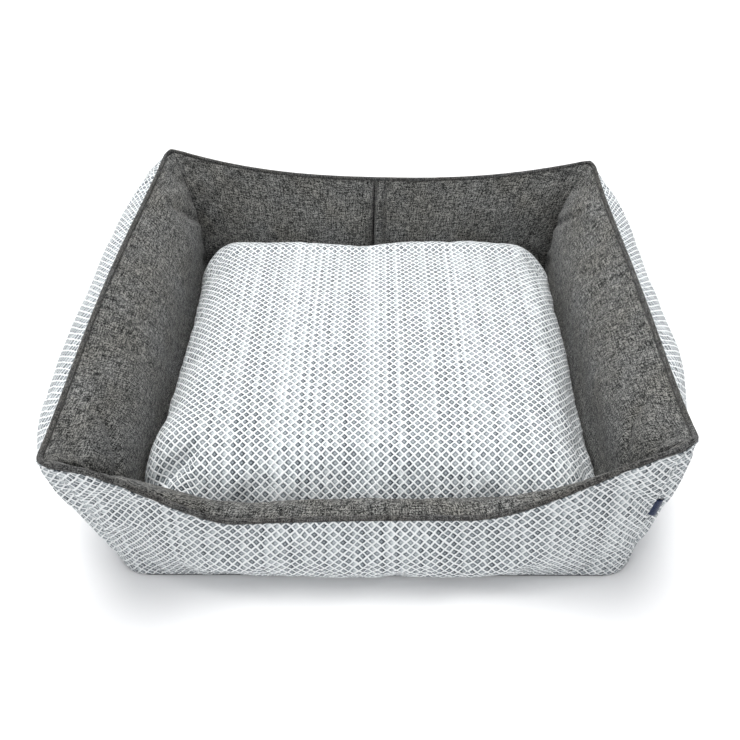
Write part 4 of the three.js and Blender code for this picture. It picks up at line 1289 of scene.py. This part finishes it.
# %% Stitches round the base
def rounded_outline(half_x, half_y, rounding, height, steps=14):
    corners = [(1, -1, -90), (1, 1, 0), (-1, 1, 90), (-1, -1, 180)]
    angles = [(sx, sy, math.radians(start + 90 * i / steps))
              for sx, sy, start in corners for i in range(steps + 1)]
    return [(sx * (half_x - rounding) + rounding * math.cos(a), sy * (half_y - rounding) + rounding * math.sin(a)
             + MIDDLE_Y, height) for sx, sy, a in angles]


def closed_edges(points):
    return [(i, (i + 1) % len(points)) for i in range(len(points))]


hem = rounded_outline(base_half[0] - 6, base_half[1] - 6, FOOT_ROUNDING - 6, 0.55)
base_stitches = made_by_nodes("base_hem_stitches", charcoal_stitches,
                              {"Pitch": 4.5 * MM, "Length": 3.2 * MM, "Radius": 0.4 * MM}, hem, closed_edges(hem))
finish_made(base_stitches, "root", "base_cloth")

# %% [markdown]
# ## The zip
#
# A coil zip lies in the slot of the cushion's underside: two knitted tapes, each with a nylon coil along
# its inner edge, a slider with a flat pull, and small metal stops at the ends. The tapes are sewn to the
# cloth with a line of stitches at each side. The slider, pull and stops keep the frame's own shapes,
# which are right, and get the finish of nickel-plated zinc.

# %% Zip tapes, coils and stitches
ZIP_HEIGHT = CUSHION_BOTTOM + 0.5 * (UNDERSIDE_SHARE[1] + UNDERSIDE_SHARE[2]) * SEAM_RISE
zip_y = ZIP_MIDDLE + MIDDLE_Y
zip_place = Matrix.Translation(Vector((0, zip_y, ZIP_HEIGHT)) * MM) @ Matrix.Rotation(slope, 4, "X")
zip_turn = np.array(zip_place.to_3x3())


def on_zip(x, across, lift):
    """From the zip's own frame to the bed's, in millimetres."""
    local = np.stack([x + 0 * across, across + 0 * x, lift + 0 * x + 0 * across], axis=-1)
    return local @ zip_turn.T + np.array([0, zip_y, ZIP_HEIGHT])


COIL_LINE = 1.95      # from the zip's middle to each coil's own
COIL_LENGTH = 430.0
for name, away in (("front", -1), ("rear", 1)):
    x = np.linspace(-ZIP_REACH, ZIP_REACH, 120)[:, None] * np.ones((1, 8))
    v = np.linspace(0.95, 15.95, 8)[None, :] * np.ones((120, 1)) * away
    tape = on_zip(x, v, 1.5 + 0.06 * np.sin(x / 7))
    tape = tape if away < 0 else tape[::-1]
    uvs = np.stack([x, v * away], axis=2)
    sewn_piece(f"zip_tape_{name}_ribbon", tape, uvs if away < 0 else uvs[::-1], 0.6, "zip_tape", "cushion",
               f"zip_tape_{name}")
    coil = made_by_nodes(f"zip_coil_{name}_loops", coil_tree(), {
        "Length": COIL_LENGTH * MM, "Pitch": 1.25 * MM, "Loop radius": 0.68 * MM, "Wire radius": 0.3 * MM})
    moved_mesh(coil, zip_place @ Matrix.Translation(Vector((0, away * COIL_LINE, 0.15)) * MM))
    finish_made(coil, "cushion", "zip_nylon", f"zip_coil_{name}")
    ends = on_zip(np.array([-ZIP_REACH + 4, ZIP_REACH - 4]), np.array([1.0, 1.0]) * away * (SLOT_HALF + 1.9),
                  np.array([-0.05, -0.05]))
    seam = made_by_nodes(f"zip_{name}_stitches", white_stitches,
                         {"Pitch": 3.4 * MM, "Length": 2.5 * MM, "Radius": 0.3 * MM}, ends, [(0, 1)])
    finish_made(seam, "cushion", "lattice_jacquard")

for name in ("zip_slider", "zip_pull", "zip_bottom_stop", "zip_top_stop_front", "zip_top_stop_rear"):
    metal_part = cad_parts[name]
    for material_slot in metal_part.material_slots:
        material_slot.material = materials["slider_metal"]
    if not metal_part.material_slots:
        metal_part.data.materials.append(materials["slider_metal"])
print("zip pieces made")

# %% [markdown]
# ## Side tab
#
# A short loop of plain navy ribbon is caught in the seam of the near right corner. It is folded in two,
# so its outer edge is a round fold and its two layers lie side by side.

# %% Side tab
TAB_LENGTH, TAB_REACH = 30.0, 12.0
TAB_TURNS = (-0.76, 0.85)     # its heading at the seam and at its fold, in radians


def side_tab():
    height = np.linspace(0, 1, 16)
    row = np.interp(tab_low[2] - 1 + TAB_LENGTH * height, outer_points["front"][-1, :, 2], np.arange(56))
    low = np.floor(row).astype(int)
    seam = mix(outer_points["front"][-1, low], outer_points["front"][-1, low + 1], (row - low)[:, None])
    round_fold = np.linspace(-math.pi / 2, math.pi / 2, 7)[1:-1]
    straight = np.linspace(-1.5, TAB_REACH - 1, 9)
    out = np.concatenate([straight, TAB_REACH - 1 + np.cos(round_fold), straight[::-1]])
    side = np.concatenate([np.full(9, -1.0), np.sin(round_fold), np.full(9, 1.0)])
    steps = np.linspace(-1.5, TAB_REACH, 60)
    heading = mix(*TAB_TURNS, smooth(steps / 8.0))
    path = np.cumsum(np.stack([np.cos(heading), np.sin(heading)], axis=1), axis=0) * (steps[1] - steps[0])
    path = path - path[np.argmin(np.abs(steps))]
    a = np.interp(out, steps, heading)
    x = np.interp(out, steps, path[:, 0]) - side * np.sin(a)
    y = np.interp(out, steps, path[:, 1]) + side * np.cos(a)
    z = -1.2 * (np.clip(out, 0, None) / TAB_REACH) ** 2
    points = seam[:, None] + np.stack([x, y, z], axis=1)[None]
    run = np.concatenate([[0], np.cumsum(np.hypot(np.diff(out), np.diff(side)))])
    uvs = np.stack([np.repeat(height[:, None] * TAB_LENGTH, len(out), axis=1), np.repeat(run[None], 16, axis=0)],
                   axis=2)
    sewn_piece("side_tab_ribbon", points, uvs, 0.7, "tab_ribbon", "root", "side_tab")


tab_low = box_mm("side_tab")[0]
side_tab()

# %% Size and end
({"cad": [list(map(float, corner)) for corner in cad_bounds],
           "visual": [list(map(float, corner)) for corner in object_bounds()]})
